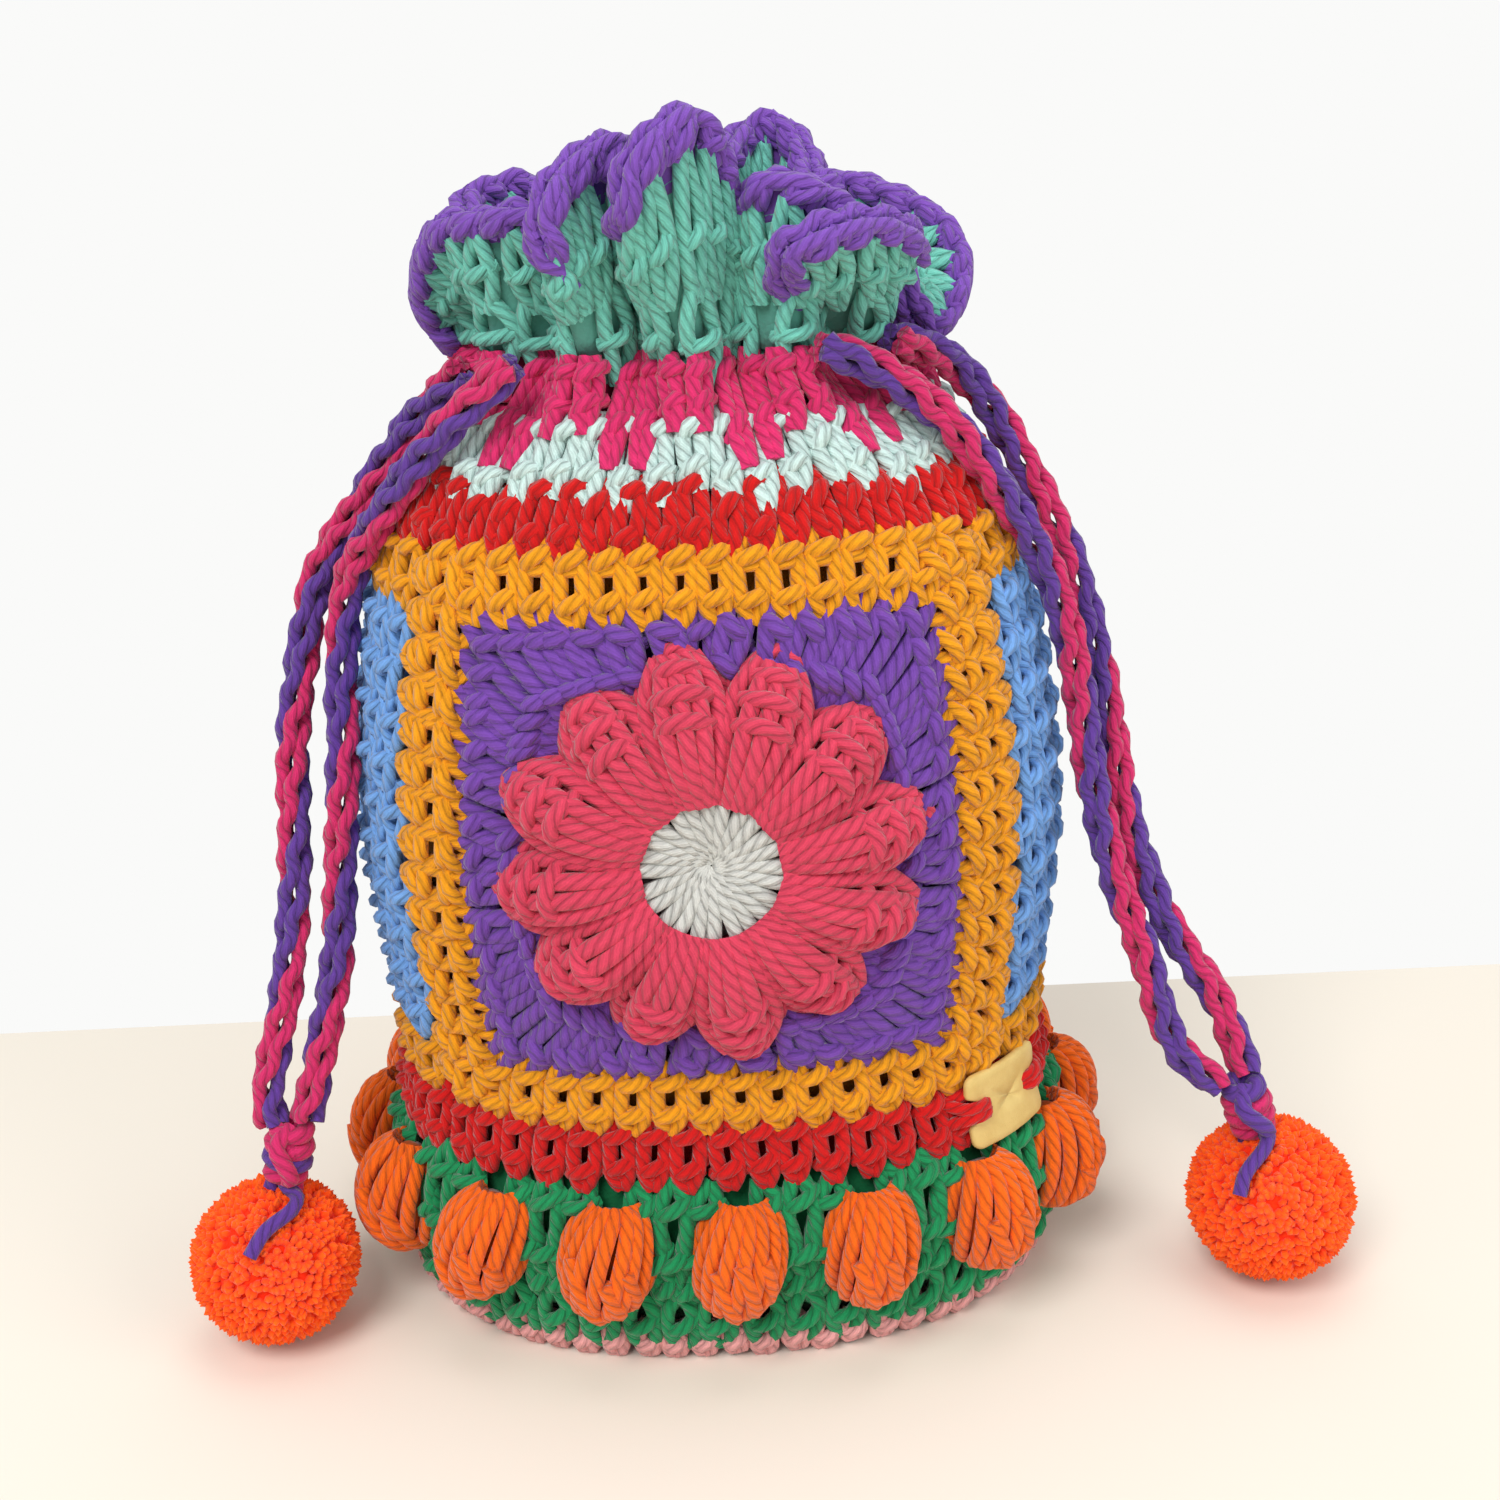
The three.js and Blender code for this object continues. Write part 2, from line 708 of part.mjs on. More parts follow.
for (const [name, route] of Object.entries(cordRoutes)) {
  const colour = name.includes("outer") || name.includes("front") ? colours.purple : colours.magenta;
  tube(name, route.map((p) => new THREE.Vector3(...p)), false, 10, colour);
}

// A ball with tufts. Without a height of its own it rests on the floor.
function ball(name, [x, y, z], radius, bumps, detail, colour) {
  const geometry = new THREE.IcosahedronGeometry(1, detail);
  const position = geometry.getAttribute("position");
  const point = new THREE.Vector3();
  for (let i = 0; i < position.count; i += 1) {
    point.fromBufferAttribute(position, i);
    const tuft = Math.sin(11 * point.x) * Math.sin(11 * point.y + 1) * Math.sin(11 * point.z + 2);
    point.multiplyScalar(radius + bumps * tuft);
    position.setXYZ(i, point.x, point.y, point.z);
  }
  geometry.computeVertexNormals();
  geometry.computeBoundingBox();
  addMesh(name, geometry, colour).position.set(x, y, z ?? -geometry.boundingBox.min.z);
}

ball("left_pompom", [-79.4, -31.9], pompomRadius, pompomTufts, 2, colours.pompom);
ball("right_pompom", [95.6, -28.7], pompomRadius, pompomTufts, 2, colours.pompom);
ball("left_knot", [-75.2, -29.6, 35.2], knotRadius, 0, 1, colours.magenta);
ball("right_knot", [90.8, -28.7, 33.8], knotRadius, 0, 1, colours.magenta);

// The leather tag: a bent plate with a notch in each side, where yarn holds it to the red round.
const tagSeat = fabric / 2 + ridge + 2 * gap;

function onTag(across, up, out) {
  const perimeter = outlineLength * halfWidth(tagLevel);
  return bag(tagTurn + across / perimeter, tagLevel + up, tagSeat + out);
}

function tagPlate() {
  const wide = tagWidth / 2;
  const tall = tagHeight / 2;
  const notch = tagNotchHeight / 2;
  const acrossSteps = [-wide, -wide + tagNotch, 0, wide - tagNotch, wide];
  const upSteps = [-tall, -notch, 0, notch, tall];
  const gridAt = (out) =>
    upSteps.map((up) =>
      acrossSteps.map((across) => {
        const inNotch = up === 0 && Math.abs(across) === wide;
        const cut = Math.sign(across) * (wide - tagNotch + 0.4);
        return onTag(inNotch ? cut : across, up, out);
      }),
    );
  addMesh("tag", slabSolid(gridAt(tagThickness), gridAt(0)), colours.leather, 0.6);
}

function tagStitch(name, across) {
  const half = tagStitchWidth / 2;
  const ends = [-half, half];
  const gridAt = (out) => ends.map((up) => ends.map((side) => onTag(across + side, up, out)));
  addMesh(name, slabSolid(gridAt(tagThickness), gridAt(-gap)), colours.red);
}

tagPlate();
tagStitch("tag_left_stitch", -tagWidth / 2 + 0.3);
tagStitch("tag_right_stitch", tagWidth / 2 - 0.3);

export default pouch;
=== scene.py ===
# %% [markdown]
# # A crocheted drawstring pouch
# The pouch is worked in thick yarn, round after round, each round in its own colour. Crochet is
# made of loops of one long strand, so the look of it is the look of strands: two legs leaning
# together, a wrap across them, a small knot at the end. This scene makes those strands as real
# tubes of yarn, lays them on the shape of the bag, and gives them the twist of plied yarn.
# The bag's plain solids come in first, as a frame that says where everything sits.

import math

import bmesh
import bpy
import numpy as np
from mathutils import Matrix, Vector


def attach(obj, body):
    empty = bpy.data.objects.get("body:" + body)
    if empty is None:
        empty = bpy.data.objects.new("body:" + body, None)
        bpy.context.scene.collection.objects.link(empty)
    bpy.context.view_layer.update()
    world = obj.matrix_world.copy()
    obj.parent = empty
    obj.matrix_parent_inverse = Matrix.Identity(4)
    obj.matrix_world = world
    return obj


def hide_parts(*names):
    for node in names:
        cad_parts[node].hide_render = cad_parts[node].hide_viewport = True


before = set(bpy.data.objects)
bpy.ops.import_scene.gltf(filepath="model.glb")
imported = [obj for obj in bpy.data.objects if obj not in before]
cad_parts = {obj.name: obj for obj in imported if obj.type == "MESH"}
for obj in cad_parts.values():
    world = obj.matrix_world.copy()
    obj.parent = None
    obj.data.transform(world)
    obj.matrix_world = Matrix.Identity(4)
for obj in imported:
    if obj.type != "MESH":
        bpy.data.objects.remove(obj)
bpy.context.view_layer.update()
MM = 0.001
random = np.random.default_rng(11)
scene = bpy.context.scene
scene.view_settings.view_transform = "Standard"
print("nodes in the frame:", len(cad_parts))

# %% [markdown]
# ## The camera
# A photograph of a small object on a table is taken from close by, a little above it. Such a camera
# is given by its distance, its height, how far it looks down, and its lens.

# %% The camera
CAMERA_DISTANCE = 311 * MM
CAMERA_HEIGHT = 205.5 * MM
CAMERA_ASIDE = 2.5 * MM
LOOKS_DOWN, ROLLS, TURNS = math.radians(19.8), math.radians(2.45), math.radians(0.9)
camera_data = bpy.data.cameras.new("camera")
camera_data.sensor_width = 36
camera_data.lens = 44.88
camera_data.clip_start = 0.01
camera = bpy.data.objects.new("camera", camera_data)
scene.collection.objects.link(camera)
turned = Matrix.Rotation(-TURNS, 4, "Z") @ Matrix.Rotation(math.pi / 2 - LOOKS_DOWN, 4, "X")
camera.matrix_world = (
    Matrix.Translation((CAMERA_ASIDE, -CAMERA_DISTANCE, CAMERA_HEIGHT))
    @ turned @ Matrix.Rotation(-ROLLS, 4, "Z")
)
scene.camera = camera

# %% [markdown]
# ## The drawcords' facts
# Two limp cords of two colours each. Each runs once round inside the neck, comes out at one side,
# and its two ends meet in a knot above a pom-pom. Each free end is a cord of its own here, as long
# as its route below, in millimetres.

# %% The drawcords' routes
CORD_WIDTH = 5.8
CORD_ROUTES = {
    "left_cord_outer": [
        (-34.2, -20.4, 164.8), (-44.1, -12.8, 155.7), (-54.4, -9, 142.7), (-61.8, -7.5, 133),
        (-65, -8.5, 124.7), (-67.5, -10.5, 114.1), (-69.4, -13.3, 103.6), (-70, -16.8, 91),
        (-71, -20, 77.7), (-73.8, -24, 61.1), (-77.6, -27.6, 47), (-77.5, -29, 40.3),
    ],
    "left_cord_inner": [
        (-26, -29, 166.5), (-37.6, -26, 156.6), (-48.4, -20.4, 144), (-56.7, -13.7, 131),
        (-59.6, -14.3, 116), (-59.9, -17.5, 106), (-60.8, -20.6, 95), (-62.4, -20.6, 83.9),
        (-64.5, -23, 67.3), (-68.9, -27.2, 50), (-71.6, -28.9, 40.8),
    ],
    "right_cord_front": [
        (19.9, -30.4, 167.5), (29.1, -27, 163), (39.6, -24.6, 154.5), (47.7, -22.8, 143.5),
        (54.9, -20.6, 131.3), (59, -19, 120.8), (62.1, -17.6, 107.2), (64.3, -19.4, 91.6),
        (68.1, -21.8, 75.3), (72.6, -24.4, 62.5), (75.4, -26.4, 52), (79, -28, 44.2),
        (85.5, -29, 38.4),
    ],
    "right_cord_back": [
        (31.6, -22.4, 167), (41.2, -11.8, 162), (49.3, -6, 152.6), (55.6, -6.2, 141.7),
        (62.1, -7.6, 127.6), (66.6, -9.6, 111.1), (69.4, -11.6, 95.3), (72, -14.9, 81),
        (76.6, -18.4, 68), (81.2, -20.6, 59.6), (85.7, -22.4, 52.7), (88.6, -24.8, 45.5),
        (90.8, -27, 39.5),
    ],
}
KNOTS = {"left": (-75.2, -29.6, 35.2), "right": (90.8, -28.7, 33.8)}
POMPOMS = {"left": (-79.4, -31.9), "right": (95.6, -28.7)}
POMPOM_RADIUS = 15.0

# %% [markdown]
# ## The shape that the stitches lie on
# The bag is a rounded oval, seen from above, whose width changes with height. Every stitch is laid
# out flat first, as a distance along the round, a height, and a distance out of the wall. One
# function then bends all of it onto the bag, so that a stitch is drawn once and used everywhere.

# %% The outline of a round
DEPTH_RATIO, SQUARENESS = 0.78, 2.4
oval_angle = np.linspace(0, 2 * np.pi, 1441)


def signed_power(value):
    return np.sign(value) * np.abs(value) ** (2 / SQUARENESS)


oval_x = signed_power(np.sin(oval_angle))
oval_y = -DEPTH_RATIO * signed_power(np.cos(oval_angle))
oval_run = np.concatenate([[0], np.cumsum(np.hypot(np.diff(oval_x), np.diff(oval_y)))])
ROUND = oval_run[-1]


def outline(turn):
    """A place on the outline, a share of the way round from the middle of the front."""
    run = np.mod(turn, 1) * ROUND
    return np.interp(run, oval_run, oval_x), np.interp(run, oval_run, oval_y)


def outward(turn):
    ahead, behind = outline(turn + 0.004), outline(turn - 0.004)
    dx, dy = ahead[0] - behind[0], ahead[1] - behind[1]
    size = np.hypot(dx, dy)
    return dy / size, -dx / size


print("once round a bag of unit half width:", round(ROUND, 3))

# %% The width of the bag at each height
FLOOR, RIM, GREEN, RED = 0.0, 5.5, 35.0, 45.0
SQUARE, UPPER_RED, MINT, NECK = 140.0, 147.5, 156.0, 166.0
SQUARE_MIDDLE = (RED + SQUARE) / 2
PLEATS, PLEAT_DEPTH, PLEAT_FOOT = 12, 4.2, 143.5
profile_z = np.array([FLOOR, (RIM + GREEN) / 2, RED, SQUARE_MIDDLE, SQUARE, NECK])
profile_w = np.array([54, 58.6, 54, 56.7, 47.5, 29.5])
profile_slope = np.zeros(len(profile_z))
profile_slope[0] = (profile_w[1] - profile_w[0]) / (profile_z[1] - profile_z[0])
profile_slope[1:-1] = (profile_w[2:] - profile_w[:-2]) / (profile_z[2:] - profile_z[:-2])


def half_width(z):
    z = np.clip(z, profile_z[0], profile_z[-1])
    i = np.clip(np.searchsorted(profile_z, z, side="right") - 1, 0, len(profile_z) - 2)
    height = profile_z[i + 1] - profile_z[i]
    t = (z - profile_z[i]) / height
    return (
        (2 * t**3 - 3 * t**2 + 1) * profile_w[i]
        + (t**3 - 2 * t**2 + t) * height * profile_slope[i]
        + (3 * t**2 - 2 * t**3) * profile_w[i + 1]
        + (t**3 - t**2) * height * profile_slope[i + 1]
    )


def pleat(turn, z):
    share = np.clip((z - PLEAT_FOOT) / (NECK - PLEAT_FOOT), 0, 1)
    return PLEAT_DEPTH * share**2 * (3 - 2 * share) * np.cos(2 * np.pi * PLEATS * turn)


def bag(turn, z, out):
    """Places on the bag, in millimetres: share of the way round, height, distance out."""
    turn, z, out = np.broadcast_arrays(*[np.asarray(v, float) for v in (turn, z, out)])
    x, y = outline(turn)
    nx, ny = outward(turn)
    width = half_width(z)
    tilt = np.where(z > 0.5, np.arctan(half_width(z - 0.5) - half_width(z + 0.5)), 0)
    reach = out * np.cos(tilt) + pleat(turn, z)
    return np.stack([x * width + nx * reach, y * width + ny * reach, z + out * np.sin(tilt)], -1)


def around(z):
    """The length of one round at a height."""
    return ROUND * half_width(z)


print("width over the foot, mm:", round(2 * float(half_width(20)), 1))

# %% [markdown]
# ## Yarn in Geometry Nodes
# A strand is a line with a thickness. Geometry Nodes turns many lines into tubes in one go: lines
# become curves, and a circle is swept along each, scaled by a named attribute. Two things are kept
# for the finish: the place round the strand, as a cosine and a sine so that it joins up without a
# seam, and the length run along it.

# %% A helper that adds a node and links it
def add_node(tree, kind, settings=None, inputs=None):
    node = tree.nodes.new(kind)
    for key, value in (settings or {}).items():
        setattr(node, key, value)
    for key, value in (inputs or {}).items():
        if isinstance(value, bpy.types.NodeSocket):
            tree.links.new(value, node.inputs[key])
        else:
            node.inputs[key].default_value = value
    return node


def new_tree(name, sockets):
    tree = bpy.data.node_groups.new(name, "GeometryNodeTree")
    for socket_name, kind in sockets:
        tree.interface.new_socket(socket_name, in_out="INPUT", socket_type=kind)
    tree.interface.new_socket("Geometry", in_out="OUTPUT", socket_type="NodeSocketGeometry")
    return tree, tree.nodes.new("NodeGroupInput"), tree.nodes.new("NodeGroupOutput")


# %% The tree that sweeps yarn along lines
def build_yarn_tree():
    tree, given, result = new_tree("yarn along lines", [
        ("Lines", "NodeSocketGeometry"), ("Sides", "NodeSocketInt"),
        ("Material", "NodeSocketMaterial"),
    ])
    is_line = add_node(tree, "GeometryNodeInputNamedAttribute", {"data_type": "BOOLEAN"},
                       {"Name": "is_line"})
    split = add_node(tree, "GeometryNodeSeparateGeometry", {"domain": "EDGE"},
                     {"Geometry": given.outputs["Lines"], "Selection": is_line.outputs[0]})
    curves = add_node(tree, "GeometryNodeMeshToCurve", None, {"Mesh": split.outputs[0]})
    thickness = add_node(tree, "GeometryNodeInputNamedAttribute", {"data_type": "FLOAT"},
                         {"Name": "thickness"})
    along = add_node(tree, "GeometryNodeSplineParameter")
    keep_length = tree.nodes.new("GeometryNodeCaptureAttribute")
    keep_length.capture_items.new("FLOAT", "Length")
    tree.links.new(curves.outputs[0], keep_length.inputs[0])
    tree.links.new(along.outputs["Length"], keep_length.inputs[1])
    circle = add_node(tree, "GeometryNodeCurvePrimitiveCircle", None,
                      {"Resolution": given.outputs["Sides"], "Radius": 1.0})
    place = add_node(tree, "GeometryNodeInputPosition")
    keep_place = tree.nodes.new("GeometryNodeCaptureAttribute")
    keep_place.capture_items.new("VECTOR", "Place")
    tree.links.new(circle.outputs[0], keep_place.inputs[0])
    tree.links.new(place.outputs[0], keep_place.inputs[1])
    tubes = add_node(tree, "GeometryNodeCurveToMesh", None, {
        "Curve": keep_length.outputs[0], "Profile Curve": keep_place.outputs[0],
        "Scale": thickness.outputs[0], "Fill Caps": True})
    parts = add_node(tree, "ShaderNodeSeparateXYZ", None, {0: keep_place.outputs[1]})
    packed = add_node(tree, "ShaderNodeCombineXYZ", None, {
        0: parts.outputs[0], 1: parts.outputs[1], 2: keep_length.outputs[1]})
    stored = add_node(tree, "GeometryNodeStoreNamedAttribute",
                      {"data_type": "FLOAT_VECTOR", "domain": "POINT"},
                      {"Geometry": tubes.outputs[0], "Name": "strand", "Value": packed.outputs[0]})
    joined = tree.nodes.new("GeometryNodeJoinGeometry")
    tree.links.new(split.outputs[1], joined.inputs[0])
    tree.links.new(stored.outputs[0], joined.inputs[0])
    smooth = add_node(tree, "GeometryNodeSetShadeSmooth", None, {0: joined.outputs[0]})
    real = add_node(tree, "GeometryNodeRealizeInstances", None, {0: smooth.outputs[0]})
    painted = add_node(tree, "GeometryNodeSetMaterial", None,
                       {"Geometry": real.outputs[0], "Material": given.outputs["Material"]})
    tree.links.new(painted.outputs[0], result.inputs[0])
    return tree


YARN_TREE = build_yarn_tree()
print("nodes in the yarn tree:", len(YARN_TREE.nodes))


# %% Making a piece from a tree
def set_inputs(modifier, values):
    """Inputs are set by their identifiers, which stay when a name changes."""
    for item in modifier.node_group.interface.items_tree:
        if item.in_out == "INPUT" and item.name in values:
            modifier[item.identifier] = values[item.name]


def bake_nodes(piece, tree, values):
    modifier = piece.modifiers.new("shape", "NODES")
    modifier.node_group = tree
    set_inputs(modifier, values)
    seen = bpy.context.evaluated_depsgraph_get()
    made = bpy.data.meshes.new_from_object(piece.evaluated_get(seen))
    piece.modifiers.remove(modifier)
    old = piece.data
    piece.data = made
    bpy.data.meshes.remove(old)
    made.name = piece.name


def finish_piece(piece, nodes):
    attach(piece, "root")
    if nodes:
        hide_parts(*nodes)
    piece.data.calc_loop_triangles()
    print(f"{piece.name}: {len(piece.data.loop_triangles)} triangles")
    return piece


# %% A strand, and a piece made of strands
YARN = 1.38
STEP = 1.35


def smooth_line(points, step=STEP, closed=False):
    """A smooth line through a few points, in even steps."""
    points = np.asarray(points, float)
    if closed:
        ends = np.vstack([points[-1:], points, points[:2]])
    else:
        ends = np.vstack([2 * points[0] - points[1], points, 2 * points[-1] - points[-2]])
    a, b, c, d = ends[:-3], ends[1:-2], ends[2:-1], ends[3:]
    t = np.linspace(0, 1, 9)[:-1, None, None]
    bent = 0.5 * (2 * b + (c - a) * t + (2 * a - 5 * b + 4 * c - d) * t**2
                  + (3 * b - a - 3 * c + d) * t**3)
    dense = bent.transpose(1, 0, 2).reshape(-1, points.shape[1])
    dense = np.vstack([dense, points[:1] if closed else points[-1:]])
    run = np.concatenate([[0], np.cumsum(np.linalg.norm(np.diff(dense, axis=0), axis=1))])
    at = np.linspace(0, run[-1], max(3, round(run[-1] / step)) + 1)
    return np.stack([np.interp(at, run, dense[:, k]) for k in range(points.shape[1])], -1)


class Strands:
    """Lines of yarn gathered for one piece. Each has its points in millimetres."""

    def __init__(self):
        self.lines, self.sizes, self.tones = [], [], []

    def add(self, line, size=YARN, tone=None):
        self.lines.append(line)
        self.sizes.append(np.broadcast_to(size, len(line)))
        self.tones.append(np.full(len(line), random.random() if tone is None else tone))

    def mapped(self, place):
        """The same strands, with their points moved by a function of three columns."""
        cuts = np.cumsum([len(line) for line in self.lines])[:-1]
        moved = place(*np.vstack(self.lines).T)
        self.lines = np.split(moved, cuts)
        return self


def knit(name, strands, material, nodes, backing=None, sides=7):
    """One piece: strands swept as yarn, and a thin backing behind them in the same finish, where it is
    painted in shade.
    """
    verts, edges, faces = [], [], []
    start = 0
    for line in strands.lines:
        verts.append(line)
        edges.append(np.stack([np.arange(len(line) - 1), np.arange(1, len(line))], -1) + start)
        start += len(line)
    lines_end = start
    for points, quads in backing or []:
        verts.append(points)
        faces += [[int(k) + start for k in face] for face in quads]
        start += len(points)
    edges = np.vstack(edges)
    mesh = bpy.data.meshes.new(name)
    mesh.from_pydata((np.vstack(verts) * MM).tolist(), edges.tolist(), faces)
    for key, values, extra in (("thickness", strands.sizes, 1.0), ("tone", strands.tones, 0.5)):
        layer = mesh.attributes.new(key, "FLOAT", "POINT")
        scale = MM if key == "thickness" else 1
        full = np.full(start, extra * scale)
        full[:lines_end] = np.concatenate(values) * scale
        layer.data.foreach_set("value", full)
    is_line = mesh.attributes.new("is_line", "BOOLEAN", "EDGE")
    ends = np.empty(2 * len(mesh.edges), int)
    mesh.edges.foreach_get("vertices", ends)
    is_line.data.foreach_set("value", ends.reshape(-1, 2).max(1) < lines_end)
    piece = bpy.data.objects.new(name, mesh)
    scene.collection.objects.link(piece)
    bake_nodes(piece, YARN_TREE, {"Sides": sides, "Material": material})
    return finish_piece(piece, nodes)


# %% Thin walls behind the strands, painted in shade by the yarn finish
def turned_out(points, quads):
    """Faces in the order that points them outwards, told by the sign of the volume."""
    quads = np.asarray(quads)
    a, b, c, d = (points[quads[:, k]] for k in range(4))
    volume = np.einsum("ij,ij->", a, np.cross(b, c)) + np.einsum("ij,ij->", a, np.cross(c, d))
    return points, (quads if volume > 0 else quads[:, ::-1]).tolist()


def closed_ring(sections):
    """A closed ring of sections, each a closed loop of points, as quads facing outwards."""
    rows, size = sections.shape[:2]
    i, j = np.meshgrid(np.arange(rows), np.arange(size), indexing="ij")
    up, right = (j + 1) % size, (i + 1) % rows
    quads = np.stack([i * size + j, right * size + j, right * size + up, i * size + up], -1)
    return turned_out(sections.reshape(-1, 3), quads.reshape(-1, 4))


def closed_slab(front, back):
    """A curved slab between two grids of points of the same size."""
    rows, cols = front.shape[:2]
    half = rows * cols
    index = np.arange(half).reshape(rows, cols)
    here = np.stack([index[:-1, :-1], index[:-1, 1:], index[1:, 1:], index[1:, :-1]], -1)
    here = here.reshape(-1, 4)
    rim = np.concatenate([index[0, :-1], index[:-1, -1], index[-1, :0:-1], index[:0:-1, 0]])
    after = np.roll(rim, -1)
    sides = np.stack([rim, rim + half, after + half, after], -1)
    points = np.vstack([front.reshape(-1, 3), back.reshape(-1, 3)])
    return turned_out(points, np.vstack([here, here[:, ::-1] + half, sides]))


BACK_IN, BACK_OUT = -2.2, -0.6


def round_backing(low, high, columns=96, levels=4):
    turn = np.arange(columns) / columns
    z = np.linspace(low, high, levels)
    inner = bag(turn[:, None], z[None, :], BACK_IN)
    outer = bag(turn[:, None], z[None, ::-1], BACK_OUT)
    return closed_ring(np.concatenate([inner, outer], axis=1))


def panel_backing(place, left, right, low, high, steps=24):
    x, y = np.meshgrid(np.linspace(left, right, steps), np.linspace(low, high, steps))
    return closed_slab(place(x, y, np.full_like(x, BACK_OUT)), place(x, y, np.full_like(x, BACK_IN)))

# %% [markdown]
# ## Finishes
# A finish here is arithmetic: how far round the strand a point lies, plus how far along, tells
# where it falls between two plies. A small class makes such sums readable, by turning + and * on
# sockets into Math nodes. The plies drive the bump and a painted shade in the grooves between
# them, and the backing behind the strands is painted in shade too; fibres come from noise.
# Nothing depends on where the camera stands.

# %% Shader sums
class Value:
    """A socket of a material, so that sums on it read as sums."""

    def __init__(self, finish, socket):
        self.finish, self.socket = finish, socket

    def math(self, operation, *others):
        return self.finish.node("ShaderNodeMath", {"operation": operation},
                                dict(enumerate((self, *others))))

    def __add__(self, other):
        return self.math("ADD", other)

    def __mul__(self, other):
        return self.math("MULTIPLY", other)

    def __sub__(self, other):
        return self.math("SUBTRACT", other)

    def __rsub__(self, other):
        return self.finish.node("ShaderNodeMath", {"operation": "SUBTRACT"}, {0: other, 1: self})

    def __pow__(self, other):
        return self.math("POWER", other)

    def __abs__(self):
        return self.math("ABSOLUTE")

    __radd__ = __add__
    __rmul__ = __mul__


class Finish:
    """A material under construction."""

    def __init__(self, name):
        self.material = bpy.data.materials.new(name)
        self.material.use_nodes = True
        self.tree = self.material.node_tree
        self.tree.nodes.clear()

    def node(self, kind, settings=None, inputs=None, output=0):
        made = self.tree.nodes.new(kind)
        for key, value in (settings or {}).items():
            setattr(made, key, value)
        for key, value in (inputs or {}).items():
            if isinstance(value, Value):
                self.tree.links.new(value.socket, made.inputs[key])
            else:
                made.inputs[key].default_value = value
        return Value(self, made.outputs[output]) if made.outputs else None

    def attribute(self, name, output):
        return self.node("ShaderNodeAttribute", {"attribute_name": name}, output=output)

    def mix(self, share, first, second):
        return self.node("ShaderNodeMix", {"data_type": "RGBA"}, {0: share, 6: first, 7: second}, 2)

    def noise(self, scale, detail, place):
        return self.node("ShaderNodeTexNoise", None,
                         {"Vector": place, "Scale": scale, "Detail": detail})

    def object_place(self):
        return self.node("ShaderNodeTexCoord", output=3)

    def surface(self, inputs):
        shader = self.node("ShaderNodeBsdfPrincipled", None, inputs)
        self.node("ShaderNodeOutputMaterial", None, {"Surface": shader})
        return self.material


def linear(red, green, blue):
    """A colour as it is seen, from 0 to 255, as the linear values that a shader wants."""
    values = [v / 255 for v in (red, green, blue)]
    return (*[v / 12.92 if v <= 0.04045 else ((v + 0.055) / 1.055) ** 2.4 for v in values], 1.0)


def darker(colour, share):
    return (*[v * share for v in colour[:3]], 1.0)


# %% The yarn finish
PLIES = 4
PLY_RISE = 2.5 * MM
FUZZ_SHEEN = 0.22


def yarn_finish(name, colour, second=None, bump=0.75):
    """Plied yarn. With a second colour, the attribute called tone says which strand has which."""
    f = Finish(name)
    strand = f.attribute("strand", 1)
    x, y, along = (f.node("ShaderNodeSeparateXYZ", None, {0: strand}, k) for k in range(3))
    tone = f.attribute("tone", 2)
    place = f.object_place()
    wander = f.noise(160, 1.0, place)
    phase = y.math("ARCTAN2", x) * (PLIES / 2) + along * (math.pi / PLY_RISE) + wander * 3
    ply = abs(phase.math("COSINE"))
    # Painted shade: this share is 1 on the strands and 0 on the backing, which has no strand attribute,
    # so the backing between and behind the strands is painted in the darker colour.
    strand_lit_backing_shaded = (x * x + y * y).math("MINIMUM", 1.0)
    fibre = (phase * 7 + f.noise(900, 2.0, place) * 9).math("SINE") * 0.5 + 0.5
    fuzz = f.noise(2300, 2.0, place)
    height = ply ** 0.7 + fibre * 0.16 + fuzz * 0.22
    # Painted shade: deep is the yarn colour at 0.42 of its brightness, used for the grooves between
    # plies and for the backing.
    light = colour
    if second is not None:
        light = f.mix(tone, colour, second)
        deep = f.mix(tone, darker(colour, 0.42), darker(second, 0.42))
    else:
        deep = darker(colour, 0.42)
    # Painted shade: this share of the yarn colour over deep rises on the ply crowns and falls in the
    # grooves between plies; fibre and fuzz noise and the random strand tone add mottling.
    shade = (ply ** 0.6) * 0.62 + fibre * 0.2 + fuzz * 0.32
    if second is None:
        shade = shade + tone * 0.16 - 0.08
    # Painted shade: the base colour goes towards deep in the ply grooves and on the backing.
    base = f.mix((shade * (strand_lit_backing_shaded * 0.75 + 0.25)).math("MINIMUM", 1.0), deep, light)
    normal = f.node("ShaderNodeBump", None,
                    {"Strength": bump, "Distance": 0.45 * MM, "Height": height})
    return f.surface({
        "Base Color": base, "Roughness": 0.9, "Normal": normal, "Specular IOR Level": 0.22,
        "Sheen Weight": FUZZ_SHEEN, "Sheen Roughness": 0.45,
    })


COLOURS = {
    "mustard": linear(243, 160, 22), "purple": linear(120, 72, 172), "coral": linear(222, 68, 96),
    "grey": linear(212, 213, 208), "red": linear(214, 22, 22), "green": linear(28, 152, 92),
    "orange": linear(252, 108, 16), "pink": linear(240, 168, 166), "mint": linear(208, 234, 229),
    "magenta": linear(226, 48, 112), "teal": linear(118, 204, 186), "blue": linear(118, 170, 236),
    "navy": linear(38, 50, 150), "violet": linear(128, 80, 184),
}
YARNS = {name: yarn_finish(f"{name} yarn", colour) for name, colour in COLOURS.items()}
CORD_YARN = yarn_finish("two-coloured cord yarn", linear(100, 62, 156), linear(216, 46, 108))
print("yarn finishes:", len(YARNS) + 1)

# %% [markdown]
# ## One stitch
# Most of the bag is one kind of stitch. Seen from the front it is a leaf: two legs that meet in a
# point at each end, a strand wrapped across them, and a small knot low down. The point at the foot
# hangs over the round below. Each leaf is drawn on a flat sheet, a little different every time.

